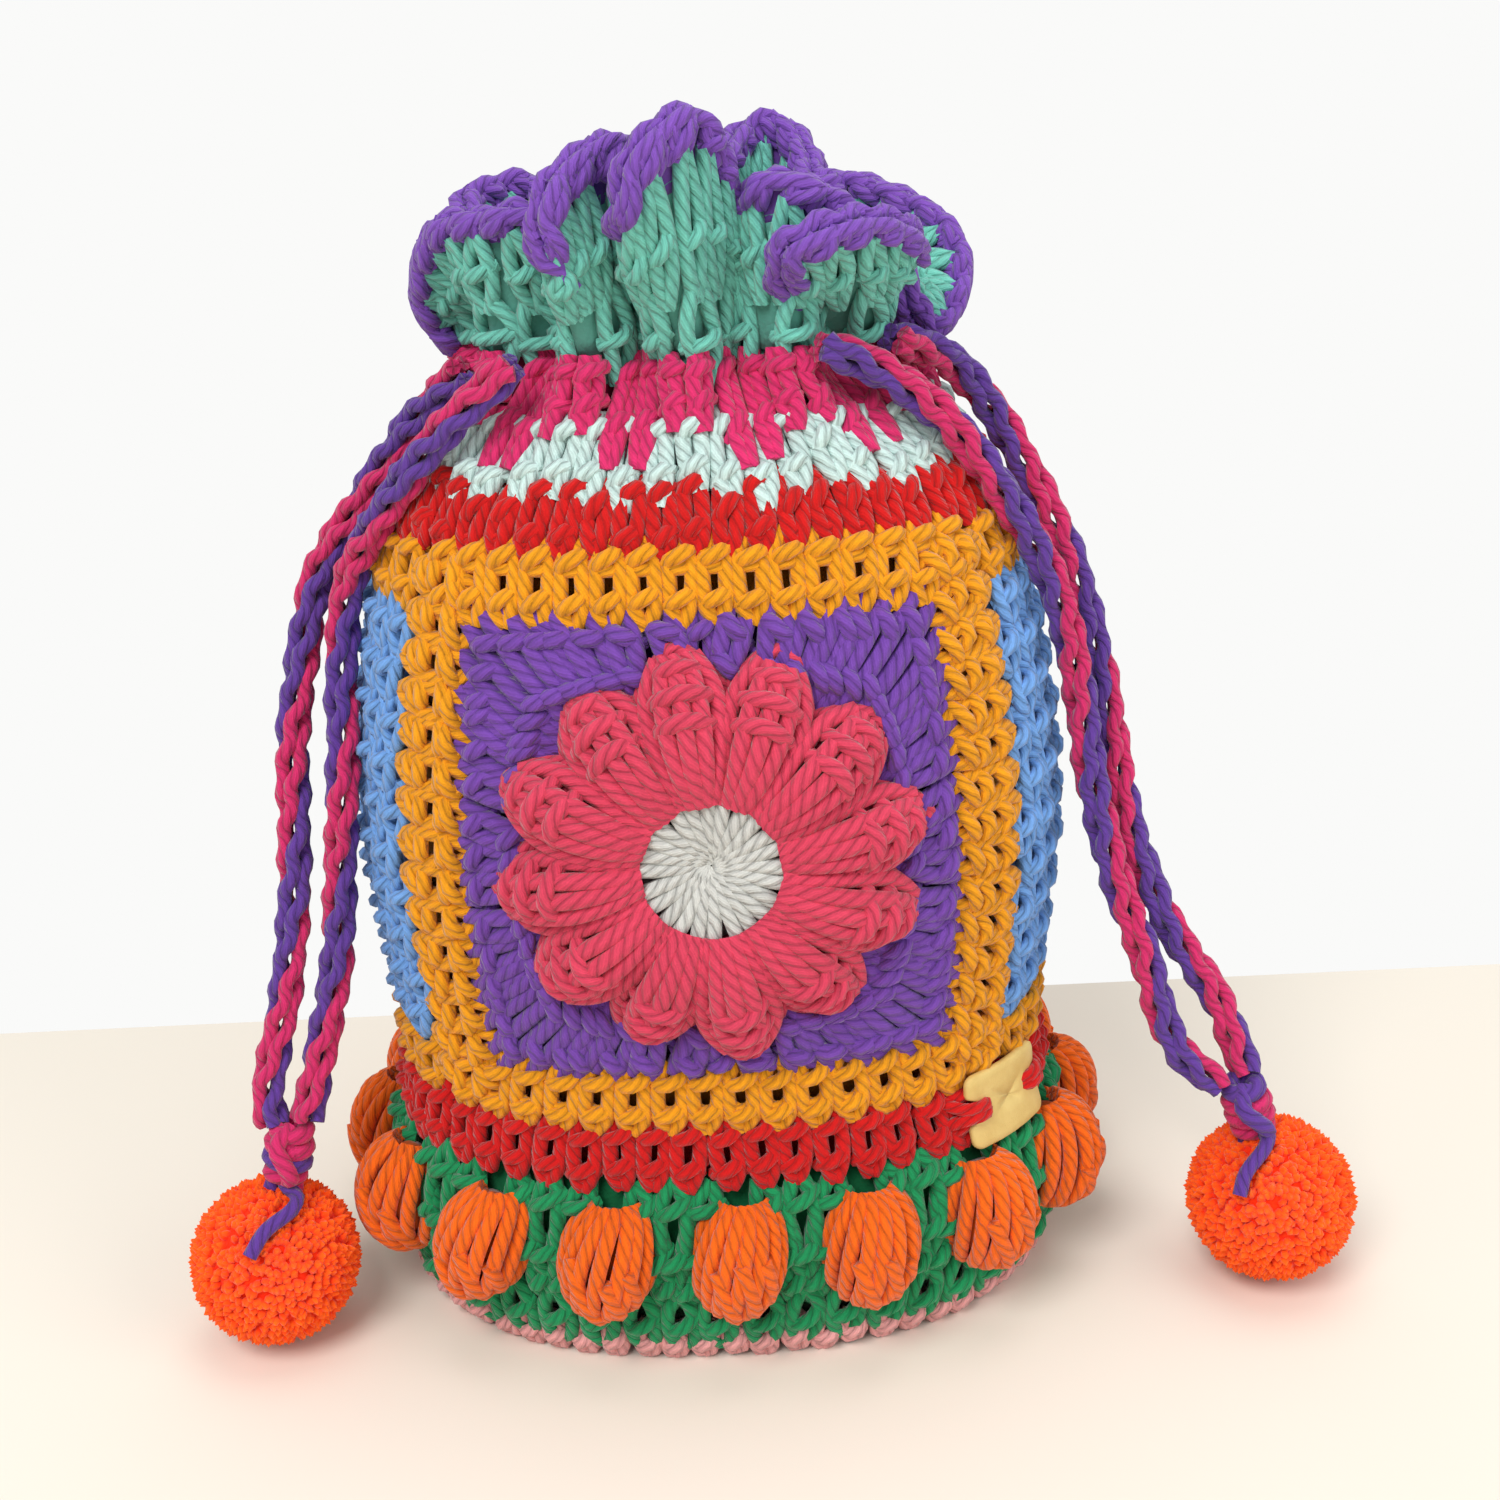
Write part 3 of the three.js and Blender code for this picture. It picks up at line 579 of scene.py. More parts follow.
# %% The leaf stitch
def leaf(strands, foot, head, width, size=YARN, foot_rise=2.3, head_rise=1.0, lift=0.0):
    """A stitch from its foot to its head, both (across, up) in millimetres on the flat sheet."""
    foot, head = np.asarray(foot, float), np.asarray(head, float)
    length = np.linalg.norm(head - foot)
    up = (head - foot) / length
    across = np.array([up[1], -up[0]])
    half = width / 2 - size * 0.85
    wob = random.uniform(-0.25, 0.25, 8)

    def at(side, share, rise):
        spot = foot + across * side + up * (share * length)
        return (spot[0], spot[1], rise + lift)

    for way in (-1, 1):
        k = 0 if way < 0 else 4
        strands.add(smooth_line([
            at(way * 0.25, 0.0, foot_rise - 0.5),
            at(way * (half + wob[k]) * 0.75, 0.2, foot_rise + 0.2),
            at(way * (half + wob[k + 1]), 0.5, 2.4 + wob[k + 2]),
            at(way * (half + wob[k + 1]) * 0.8, 0.78, 2.0),
            at(way * 0.3, 1.0, head_rise),
        ]), size)
    wraps = max(1, round(length / 7.5))
    for k in range(wraps):
        middle = (k + 0.62) / (wraps + 0.15) + wob[3] * 0.12
        tilt = 0.16 / wraps
        strands.add(smooth_line([
            at(-half - 0.7, middle - tilt, 1.3),
            at(-half * 0.35, middle - tilt * 0.3, 3.7),
            at(half * 0.45, middle + tilt * 0.35, 3.6),
            at(half + 0.7, middle + tilt, 1.3),
        ]), size * 0.9)


def knot_stitch(strands, spot, width, rise=2.6, size=YARN * 0.85):
    """The small bar at the foot of a stitch, and where two stitches meet."""
    x, y = spot
    strands.add(smooth_line([
        (x - width / 2, y + 0.5, rise - 1.6), (x, y - 0.5, rise), (x + width / 2, y + 0.5, rise - 1.6),
    ]), size)


def wall_place(z_middle):
    """Flat millimetres on the wall: across is measured along the round at one height."""
    def place(x, y, out):
        return bag(x / around(z_middle), y, out)
    return place


def leaf_round(name, low, high, count, colour, nodes, hang=1.8, tuck=0.4, shift=0.0,
               swing=None, lift=0.0):
    """A whole round of leaf stitches, side by side, over its backing."""
    middle = (low + high) / 2
    pitch = around(middle) / count
    strands = Strands()
    for k in range(count):
        x = (k + shift + random.uniform(-0.1, 0.1)) * pitch
        lean = random.uniform(-0.5, 0.5)
        drop = swing(x / around(middle)) if swing else 0.0
        foot = (x - lean, low - hang + drop + random.uniform(-0.5, 0.5))
        head = (x + lean, high + tuck + random.uniform(-0.4, 0.4))
        leaf(strands, foot, head, pitch * 1.04, lift=lift)
        knot_stitch(strands, (x - lean, foot[1] + 2.6), pitch * 0.8)
    strands.mapped(wall_place(middle))
    return knit(name, strands, YARNS[colour], nodes, [round_backing(low, high)])


STITCHES = 56

# %% [markdown]
# ## The base and the rim
# The base is worked flat from its middle, in growing rounds. It hardly shows, so short plain
# stitches in rings are enough, under a solid disc that closes it. The rim is one pink round.

# %% The base
BASE_THICKNESS, BASE_CENTRE, BASE_HALF_WIDTH = 4.0, 0.42, 51.5


def base_rounds(name, shares, colour, node):
    strands = Strands()
    for inner, outer in zip(shares[:-1], shares[1:]):
        middle = (inner + outer) / 2 * BASE_HALF_WIDTH
        count = max(6, round(ROUND * middle / 5.6))
        for k in range(count):
            turn = (k + 0.5) / count
            x, y = outline(turn)
            nx, ny = -y / np.hypot(x, y), x / np.hypot(x, y)
            for side in (-1.2, 1.2):
                spots = ((inner, 0.3, 2.0), ((inner + outer) / 2, 1, 1.3), (outer, 0.4, 1.8))
                ends = [(x * s * BASE_HALF_WIDTH + nx * side * w,
                         y * s * BASE_HALF_WIDTH + ny * side * w, z) for s, w, z in spots]
                strands.add(smooth_line(ends, 2.0), 1.25)
    turn = np.arange(64) / 64
    x, y = outline(turn)
    inner, outer = shares[0], shares[-1]
    ring = [(inner, 2.0), (outer, 2.0), (outer, BASE_THICKNESS), (inner, BASE_THICKNESS)]
    sections = np.stack([np.stack([x * s * BASE_HALF_WIDTH, y * s * BASE_HALF_WIDTH,
                                   np.full(64, z)], -1) for s, z in ring], 1)
    knit(name, strands, YARNS[colour], [node], [closed_ring(sections)], sides=6)


base_rounds("base_middle", np.linspace(0.03, BASE_CENTRE, 5), "orange",
            "base_centre_round")
base_rounds("base_outer", np.linspace(BASE_CENTRE, 1.02, 6), "navy", "base_outer_round")

# %% The pink rim
leaf_round("pink_rim", 1.4, RIM + 0.4, 64, "pink", ["rim_round"], hang=0.0, tuck=1.8)

# %% [markdown]
# ## The green round and its bobbles
# Between two bobbles the green yarn makes a fan of three tall stitches, and below them a row of
# short ones. A bobble is several unfinished stitches drawn together at both ends: its strands run
# from top to bottom like the ribs of a pumpkin.

# %% The green round
BOBBLES, BOBBLE_SHIFT = 16, 0.06
BOBBLE_WIDTH, BOBBLE_HEIGHT, BOBBLE_REACH, BOBBLE_MIDDLE = 17.0, 20.0, 11.0, 22.5


def green_strands():
    strands = Strands()
    pitch = around(20) / BOBBLES
    for k in range(BOBBLES):
        gap_middle = (k + BOBBLE_SHIFT + 0.5) * pitch
        for side in (-1, 0, 1):
            foot = (gap_middle + side * 1.5, 17.0)
            head = (gap_middle + side * 6.6, GREEN + 0.2 - abs(side) * 1.0)
            leaf(strands, foot, head, 6.6, foot_rise=1.8, head_rise=0.9, lift=0.5 * (side == 0))
        for side in (-0.5, 0.5):
            leaf(strands, (gap_middle + side * 3.4, 11.0), (gap_middle + side * 3.6, 21), 5.0,
                 foot_rise=1.4, lift=-0.3)
        for spot in (-0.33, 0.0, 0.33):
            x = (k + BOBBLE_SHIFT + 0.5 + spot) * pitch + random.uniform(-0.4, 0.4)
            leaf(strands, (x, RIM - 2.0), (x + random.uniform(-0.8, 0.8), 14.5), 7.2, lift=0.3)
    return strands.mapped(wall_place(20))


knit("green_round_stitches", green_strands(), YARNS["green"], ["green_round"],
     [round_backing(RIM, GREEN, levels=8)])


# %% The bobbles
def bobble(strands, middle, tilt):
    """Ribs from top to bottom over a ball that sits on the wall, and two crossing ribs."""
    half_w, half_h = BOBBLE_WIDTH / 2 - YARN, BOBBLE_HEIGHT / 2 - YARN
    x0 = middle * around(BOBBLE_MIDDLE)

    def rib(angle, twist, low=-1.25, high=1.2, size=YARN, deep=0.0):
        line = []
        for share in np.linspace(low, high, 7):
            ring = math.cos(share) ** 0.75
            here = angle + twist * share
            across = math.sin(here) * ring * half_w
            line.append((x0 + across + tilt * share, BOBBLE_MIDDLE + math.sin(share) * half_h,
                         1.5 + (BOBBLE_REACH - 1.5) * max(math.cos(here), 0.0) * ring - deep))
        strands.add(smooth_line(line), size)

    ribs = 9
    for k in range(ribs):
        angle = (k / (ribs - 1) - 0.5) * math.radians(168)
        rib(angle + random.uniform(-0.05, 0.05), 0.22 + random.uniform(-0.06, 0.06))
    for angle in (-0.5, 0.12, 0.62):
        rib(angle, -0.55, low=-1.2, high=random.uniform(-0.2, 0.3), deep=-0.5)


def bobble_core(middle):
    """A closed ball under the ribs, so that no gap looks through."""
    share = np.linspace(-1.3, 1.3, 8)[:, None]
    angle = np.linspace(0, 2 * np.pi, 17)[:-1][None, :]
    ring = np.cos(share) ** 0.75
    across = np.sin(angle) * ring * (BOBBLE_WIDTH / 2 - 2.4)
    out = 1.0 + (BOBBLE_REACH - 3.2) * ring * (0.5 + 0.5 * np.cos(angle))
    up = BOBBLE_MIDDLE + np.sin(share) * (BOBBLE_HEIGHT / 2 - 2.4) + 0 * angle
    points = bag(middle + across / around(BOBBLE_MIDDLE), up, out)
    rows, size = points.shape[:2]
    index = np.arange(rows * size).reshape(rows, size)
    quads = np.stack([index[:-1], np.roll(index[:-1], -1, 1), np.roll(index[1:], -1, 1), index[1:]], -1)
    flat = points.reshape(-1, 3)
    ends = [points[0].mean(0), points[-1].mean(0)]
    flat = np.vstack([flat, ends])
    count = rows * size
    caps = []
    for j in range(0, size, 2):
        a, b, c = j, (j + 1) % size, (j + 2) % size
        caps.append([count, index[0, c], index[0, b], index[0, a]])
        caps.append([count + 1, index[-1, a], index[-1, b], index[-1, c]])
    return turned_out(flat, np.vstack([quads.reshape(-1, 4), caps]))


for k in range(BOBBLES):
    middle = (k + BOBBLE_SHIFT) / BOBBLES
    ribs = Strands()
    bobble(ribs, middle, random.uniform(-1.4, 2.2))
    ribs.mapped(wall_place(BOBBLE_MIDDLE))
    number = f"{k + 1:02d}"
    knit(f"bobble_ribs_{number}", ribs, YARNS["orange"], [f"bobble_{number}"],
         [bobble_core(middle)])

# %% [markdown]
# ## The red rounds and the gathered rounds
# These are plain rounds of leaf stitches. Where the neck is drawn in, the bag's own function adds
# the pleats, and the feet of the upper stitches hang lower in the valleys, as in gathered cloth.

# %% Red, mint and magenta
leaf_round("lower_red_stitches", GREEN, RED, STITCHES, "red", ["lower_red_round"],
           hang=1.6, tuck=1.2)
leaf_round("upper_red_stitches", SQUARE, UPPER_RED, STITCHES, "red",
           ["upper_red_round"], hang=1.9, tuck=1.6)


def in_valleys(depth):
    return lambda turn: -depth * (0.5 - 0.5 * math.cos(2 * math.pi * PLEATS * turn))


leaf_round("mint_stitches", UPPER_RED, MINT, 48, "mint", ["mint_round"],
           hang=1.4, tuck=1.2, swing=in_valleys(2.6), lift=0.3)
leaf_round("magenta_stitches", MINT, NECK, 48, "magenta", ["magenta_round"],
           hang=1.2, tuck=0.8, swing=in_valleys(7.0), shift=0.5, lift=1.3)

# %% [markdown]
# ## The flower squares
# A square is worked outwards from its middle: a grey ring of double strands, twelve plump petals,
# a purple round that turns the circle into a square with fans at its corners, and a mustard round
# that frames it. All of it is drawn flat, about the square's middle, and then bent onto the bag.

# %% Sizes of the square
BORDER_WIDE, BORDER_TALL = 13.0, 10.0
HALF_TURN = 0.158
HALF_WIDE = HALF_TURN * around(SQUARE_MIDDLE)
HALF_TALL = (SQUARE - RED) / 2
FIELD_WIDE, FIELD_TALL = HALF_WIDE - BORDER_WIDE, HALF_TALL - BORDER_TALL
PETALS, PETAL_TIP = 12, 32.0


def square_place(middle_turn):
    def place(x, y, out):
        return bag(middle_turn + x / around(SQUARE_MIDDLE), SQUARE_MIDDLE + y, out)
    return place


def on_frame(share, wide, tall):
    """A place on a rectangle's edge, walking round it, and the way out of it there."""
    side = int(share * 4) % 4
    along = (share * 4) % 1 * 2 - 1
    return [(along * wide, -tall), (wide, along * tall), (-along * wide, tall),
            (-wide, -along * tall)][side]


def ring_backing(place, inner, outer, columns, low, high):
    """A flat ring between two outlines of the square, bent onto the bag and closed."""
    shares = np.arange(columns) / columns
    a = np.array([inner(s) for s in shares])
    b = np.array([outer(s) for s in shares])
    middle = (a + b) / 2
    loop = [(a, low), (middle, low), (b, low), (b, high), (middle, high), (a, high)]
    return closed_ring(np.stack([place(p[:, 0], p[:, 1], np.full(columns, w)) for p, w in loop], 1))


# %% The mustard border
def border(prefix, place):
    strands = Strands()
    along_top, along_side = 16, 15
    for side in (-1, 1):
        for k in range(along_top):
            x = ((k + 0.5) / along_top * 2 - 1) * (HALF_WIDE - 2)
            inner = (x * 0.93, side * (FIELD_TALL - 1.8))
            outer = (x, side * (HALF_TALL + 1.2))
            foot, head = (outer, inner) if side < 0 else (inner, outer)
            leaf(strands, foot, head, 6.6, lift=0.2)
            knot_stitch(strands, (x * 0.97, side * (HALF_TALL - 3.2)), 5.6, 3.0)
        for k in range(along_side):
            y = ((k + 0.5) / along_side * 2 - 1) * (HALF_TALL - 2)
            inner = (side * (FIELD_WIDE - 1.6), y * 0.93 + random.uniform(-0.5, 0.5))
            outer = (side * (HALF_WIDE + 0.2), y + random.uniform(-0.8, 0.8))
            leaf(strands, outer, inner, 6.9, lift=0.4)
            for spot in (0.3, 0.62):
                x = side * (FIELD_WIDE + BORDER_WIDE * spot)
                strands.add(smooth_line([(x - 0.8, y - 3.4, 1.6), (x + 1.2, y - 0.5, 4.2),
                                         (x - 0.4, y + 3.4, 1.6)]), YARN * 0.95)
    strands.mapped(place)
    backing = ring_backing(place, lambda s: on_frame(s, FIELD_WIDE, FIELD_TALL),
                           lambda s: on_frame(s, HALF_WIDE, HALF_TALL), 96, BACK_IN, BACK_OUT)
    return knit(f"{prefix}_border_stitches", strands, YARNS["mustard"],
                [f"{prefix}_border_round"], [backing])


# %% The purple field
def field(prefix, place):
    """Groups of three tall stitches that share a foot under the petals. Corners fan out."""
    strands = Strands()
    clusters = 16
    for c in range(clusters):
        fan = (-2, -1, 0, 1, 2) if c % 4 == 0 else (-1, 0, 1)
        shares = [(c + k * (0.27 if c % 4 == 0 else 0.33)) / clusters % 1 for k in fan]
        heads = [np.array(on_frame(s, FIELD_WIDE + 0.8, FIELD_TALL + 0.8)) for s in shares]
        middle = heads[len(fan) // 2]
        angle = math.atan2(middle[1], middle[0])
        base = np.array([math.cos(angle), math.sin(angle)]) * 25.5
        for k, head in zip(fan, heads):
            side = np.array([-math.sin(angle), math.cos(angle)]) * k * 2.2
            reach = np.linalg.norm(head - base)
            if reach < 14:
                leaf(strands, base + side, head, 5.4, foot_rise=1.2, head_rise=1.4)
                continue
            way = (head - base - side) / np.linalg.norm(head - base - side)
            across = np.array([-way[1], way[0]])
            middle_spot = (base + side + head) / 2
            for aside in (-1.4, 1.4):
                strands.add(smooth_line([
                    (*(base + side + across * aside * 0.4), 0.8),
                    (*(middle_spot + across * aside), 2.8 + 0.4 * (k % 2)),
                    (*(head * 0.985 + across * aside * 1.2), 1.8)]), 1.55)
            for spot in (0.35, 0.75):
                at_spot = base + side + (head - base - side) * spot
                strands.add(smooth_line([
                    (*(at_spot - across * 2.8 - way * 1.8), 1.2), (*at_spot, 4.4),
                    (*(at_spot + across * 2.8 + way * 1.8), 1.2)]), 1.4)
    strands.mapped(place)
    backing = ring_backing(place, lambda s: tuple(np.array(on_frame(s, 16, 16))),
                           lambda s: on_frame(s, FIELD_WIDE, FIELD_TALL), 96, BACK_IN, BACK_OUT)
    return knit(f"{prefix}_field_stitches", strands, YARNS["purple"],
                [f"{prefix}_field_round"], [backing])


# %% The petals
def petal(strands, angle, lift):
    """Five ribs from the centre, drawn together near the tip, under a rounded cap of loops."""
    out_x, out_y = math.cos(angle), math.sin(angle)
    tip = PETAL_TIP + random.uniform(-1.0, 1.2)
    lean = random.uniform(-0.6, 0.6)

    def at(radius, aside, rise):
        return (out_x * radius - out_y * aside, out_y * radius + out_x * aside, rise + lift)

    def crown(radius, aside):
        share = np.clip((radius - 9) / (tip - 9), 0, 1)
        dome = 9.4 * math.sin(math.pi * (0.16 + 0.76 * share)) ** 0.8
        return 0.6 + dome - 0.115 * aside * aside

    for k in (-2, -1, 0, 1, 2):
        spread = [(10.5, 0.55), (15, 0.95), (20, 1.3), (25, 1.42), (28.5, 1.2), (31.5, 0.75)]
        line = [at(r, k * 1.9 * s + lean * (r - 10) / 12, crown(r, k * 1.9 * s)) for r, s in spread]
        strands.add(smooth_line(line), YARN * 1.1)
    for k, (radius, wide, up) in enumerate([(22.5, 4.6, 0.9), (26.0, 5.2, 0.9), (29.2, 4.4, 0.4)]):
        ends = np.linspace(-1, 1, 5)
        line = [at(radius + 2.2 * math.cos(e * 1.5) - 1.4 + k * 0.2 + e * lean, e * wide,
                   crown(radius, e * wide * 0.9) + up - 2.6 * abs(e) ** 3) for e in ends]
        strands.add(smooth_line(line), YARN)
    edge = [at(15, -5.2, 2.2), at(21, -6.9, 2.6), at(27, -6.0, 2.8), at(tip - 0.4, -2.4, 3.0),
            at(tip + 1.0, 0.0, 3.2), at(tip - 0.4, 2.4, 3.0), at(27, 6.0, 2.8), at(21, 6.9, 2.6),
            at(15, 5.2, 2.2)]
    strands.add(smooth_line(edge), YARN)


def petals(prefix, place):
    strands = Strands()
    for k in range(PETALS):
        petal(strands, (k + 0.25) / PETALS * 2 * math.pi, 0.35 * (k % 2))
    strands.mapped(place)
    shares = np.arange(144) / 144 * 2 * np.pi
    full = np.abs(np.cos(PETALS / 2 * (shares - 0.5 * math.pi / PETALS)))
    loops = []
    for radius, plus, out, dome in ((9.5, 0, -0.6, 0), (25, 5, -0.6, 0), (26, 5.4, 1.2, 0.8),
                                    (25.5, 4.2, 1.8, 3.4), (23.5, 1.5, 3.6, 3.8), (19, 0, 4.6, 3.8),
                                    (14, 0, 4.6, 2.8), (11.5, 0, 4.0, 0), (9.5, 0, 2.4, 0)):
        reach = radius + plus * full
        loops.append(place(np.cos(shares) * reach, np.sin(shares) * reach, out + dome * full))
    backing = closed_ring(np.stack(loops, 1))
    return knit(f"{prefix}_petal_stitches", strands, YARNS["coral"],
                [f"{prefix}_petals"], [backing])


# %% The grey middle
def flower_centre(prefix, place):
    strands = Strands()
    for k in range(PETALS):
        angle = (k - 0.25) / PETALS * 2 * math.pi + random.uniform(-0.04, 0.04)
        for side in (-1, 1):
            line = []
            for radius, aside, rise in ((0.6, 0.1, 3.6), (4.0, 0.6, 5.0), (8.5, 1.05, 6.2),
                                        (12.2, 1.25, 6.4), (13.6, 0.9, 5.2)):
                line.append((math.cos(angle) * radius - math.sin(angle) * aside * side,
                             math.sin(angle) * radius + math.cos(angle) * aside * side, rise))
            strands.add(smooth_line(line), 1.32)
    strands.mapped(place)
    shares = np.arange(24) / 24 * 2 * np.pi
    loops = [place(np.cos(shares) * r, np.sin(shares) * r, np.full(24, w))
             for r, w in ((0.3, -1.5), (9.2, -1.5), (11.5, 4.6), (5.0, 4.2), (0.3, 2.8))]
    backing = closed_ring(np.stack(loops, 1))
    return knit(f"{prefix}_centre_stitches", strands, YARNS["grey"],
                [f"{prefix}_flower_centre"], [backing])


for prefix, middle_turn in (("front", 0.0), ("back", 0.5)):
    place = square_place(middle_turn)
    border(prefix, place)
    field(prefix, place)
    petals(prefix, place)
    flower_centre(prefix, place)

# %% [markdown]
# ## The sides
# Between the squares, rows of light blue stitches are worked up the side, with one mustard row at
# each end of them. A row is a short round of the same leaves.

# %% The side strips
def side_rows(name, middle_turn, lows, rise, count, colour, node):
    half = (0.25 - HALF_TURN) * around(SQUARE_MIDDLE)
    strands = Strands()
    pitch = 2 * half / count
    for row, low in enumerate(lows):
        for k in range(count):
            x = -half + (k + 0.5 + 0.25 * (row % 2 * 2 - 1) * (len(lows) > 1)) * pitch
            leaf(strands, (x + random.uniform(-0.5, 0.5), low - 1.2), (x, low + rise + 0.4),
                 pitch * 1.05, lift=random.uniform(-0.1, 0.3))

    def place(x, y, out):
        return bag(middle_turn + x / around(SQUARE_MIDDLE), y, out)

    strands.mapped(place)
    backing = panel_backing(place, -half, half, min(lows), max(lows) + rise)
    return knit(name, strands, YARNS[colour], [node], [backing])


LOW_ROW, HIGH_ROW = RED + BORDER_TALL, SQUARE - BORDER_TALL
STRIP_ROWS = 10
strip_rise = (HIGH_ROW - LOW_ROW) / STRIP_ROWS
strip_lows = [LOW_ROW + k * strip_rise for k in range(STRIP_ROWS)]
for side, middle_turn in (("right", 0.25), ("left", 0.75)):
    side_rows(f"{side}_strip_stitches", middle_turn, strip_lows, strip_rise, 9, "blue",
              f"{side}_side_strip")
    side_rows(f"{side}_lower_row_stitches", middle_turn, [RED], BORDER_TALL, 9, "mustard",
              f"{side}_side_lower_row")
    side_rows(f"{side}_upper_row_stitches", middle_turn, [HIGH_ROW], BORDER_TALL, 9, "mustard",
              f"{side}_side_upper_row")

# %% [markdown]
# ## The ruffle
# Above the cords the fabric is free and much longer at its edge than at its foot, so it folds over
# itself in lobes. The edge is one closed line through places in space. Its foot is the gathered
# neck. A surface between the two, bent outwards like a petal, carries the stitches.

# %% The line of the ruffle's edge
EDGE = np.array([
    (-5.2, -26, 184.4), (-8, -37, 188), (-6.4, -39, 194.6), (-2, -37, 198.8), (2.2, -33, 200.6),
    (5.8, -29, 196.3), (7.7, -25, 188.6), (9.1, -19, 183.9), (9.7, -24, 188.4), (14.2, -29, 191.2),
    (20.9, -28, 189.1), (26.1, -22, 185.2), (25.7, -17, 181.4), (16.5, -27, 175), (14.7, -36, 181.2),
    (20, -37, 184.2), (28.7, -31, 184.9), (35.6, -22, 181.2), (33.1, -11, 177.3), (38.1, -8, 165.4),
    (43.8, -4, 169), (45.7, 2, 176.1), (42.3, 8, 182.2), (34.6, 12, 186.3), (27.4, 15, 188.5),
    (22.4, 13, 188), (21.9, 22, 191.7), (19.3, 28, 196.5), (15.1, 30, 198.3), (10.4, 27, 196.1),
    (6, 18, 191.7), (1.8, 28, 192.3), (-5.2, 30, 191.7), (-6.8, 18, 189), (-12.1, 28, 190.4),
    (-19, 27, 189.9), (-20.2, 16, 187.3), (-24.7, 22, 189.7), (-30.4, 20, 190.1), (-35.9, 14, 188),
    (-33, 5, 181.4), (-36.8, 0, 165.3), (-42.1, -3, 171.4), (-41.4, -8, 179.5), (-37, -14, 185.5),
    (-29.4, -20, 186.9), (-22.3, -24, 187.7), (-18.3, -17, 184.5), (-14.8, -24, 177.6),
    (-18.8, -33, 181.3), (-19.5, -35, 188.3), (-16.3, -32, 193.6), (-9.4, -26, 197.2),
    (-5.9, -19, 193.7),
])
EDGE_STEP = 0.4
edge_line = smooth_line(EDGE, EDGE_STEP, closed=True)
edge_count = len(edge_line) - 1


def foot_turns():
    """For each place on the edge, the place on the neck below it, always moving on round."""
    whole = np.linspace(0, 1, 721)[:-1]
    ox, oy = outline(whole)
    direction = np.arctan2(edge_line[:, 0], -edge_line[:, 1] / DEPTH_RATIO)
    neck_direction = np.unwrap(np.arctan2(ox, -oy / DEPTH_RATIO))
    turns = np.interp(np.mod(direction, 2 * np.pi), neck_direction, whole)
    turns = np.unwrap(turns * 2 * np.pi) / (2 * np.pi)
    above = np.maximum.accumulate(turns)
    below = np.minimum.accumulate(turns[::-1])[::-1]
    steady = (above + below) / 2
    plain = steady[0] + np.linspace(0, 1, len(turns)) * (steady[-1] - steady[0])
    return steady * 0.7 + plain * 0.3


FOOT = foot_turns()
RUFFLE_LEVELS = np.linspace(0, 1, 26)
STEM_SHARE, STEM_RISE = 0.42, 10.5


def ruffle_grid():
    foot = bag(FOOT, NECK + 0.6, 0.0)
    stem = foot * [1, 1, 0] + (edge_line - foot) * [STEM_SHARE, STEM_SHARE, 0]
    stem = stem + [0, 0, NECK + STEM_RISE]
    t = RUFFLE_LEVELS[None, :, None]
    foot, stem, edge = foot[:, None], stem[:, None], edge_line[:, None]
    return (1 - t) ** 2 * foot + 2 * t * (1 - t) * stem + t**2 * edge


ruffle_points = ruffle_grid()[:-1]
along_edge = np.roll(ruffle_points, -2, 0) - np.roll(ruffle_points, 2, 0)
ruffle_normals = np.cross(along_edge, np.gradient(ruffle_points, axis=1))
ruffle_normals /= np.linalg.norm(ruffle_normals, axis=2, keepdims=True) + 1e-9


def ruffle(run, climb, out):
    """Places on the ruffle: share along the edge, share of the climb, millimetres off it."""
    i = np.mod(run, 1) * edge_count
    j = np.clip(climb, 0, 1) * (len(RUFFLE_LEVELS) - 1)
    i0 = np.floor(i).astype(int) % edge_count
    j0 = np.clip(np.floor(j).astype(int), 0, len(RUFFLE_LEVELS) - 2)
    i1 = (i0 + 1) % edge_count
    u, v = (i - np.floor(i))[:, None], (j - j0)[:, None]

    def blend(grid):
        low = grid[i0, j0] * (1 - u) + grid[i1, j0] * u
        high = grid[i0, j0 + 1] * (1 - u) + grid[i1, j0 + 1] * u
        return low * (1 - v) + high * v

    over = np.maximum(climb - 1, 0)[:, None] * np.array([0, 0, 20.0])
    under = np.minimum(climb, 0)[:, None] * np.array([0, 0, 26.0])
    return blend(ruffle_points) + blend(ruffle_normals) * out[:, None] + over + under


print("length of the ruffle's edge, mm:", round(edge_count * EDGE_STEP))

# %% The teal ruffle
RUFFLE_SIZE, RUFFLE_YARN = [490, 26, 1], 1.3


def ruffle_leaf(strands, run, low, high, width_run, rise):
    """A leaf on the ruffle: across is a share of the edge, up a share of the climb."""
    wob = random.uniform(-0.06, 0.06, 4) * width_run
    for way in (-1, 1):
        strands.append(([(run + way * width_run * 0.06, low, rise * 0.6),
                         (run + way * width_run * 0.24 + wob[0], low + (high - low) * 0.3, rise),
                         (run + way * width_run * 0.27 + wob[1], low + (high - low) * 0.65, rise),
                         (run + way * width_run * 0.06, high, rise * 0.7)], RUFFLE_YARN))
    middle = (low + high) / 2
    strands.append(([(run - width_run * 0.42, middle - 0.05, rise * 0.5),
                     (run, middle, rise * 2.0),
                     (run + width_run * 0.42, middle + 0.06, rise * 0.5)], RUFFLE_YARN * 0.9))


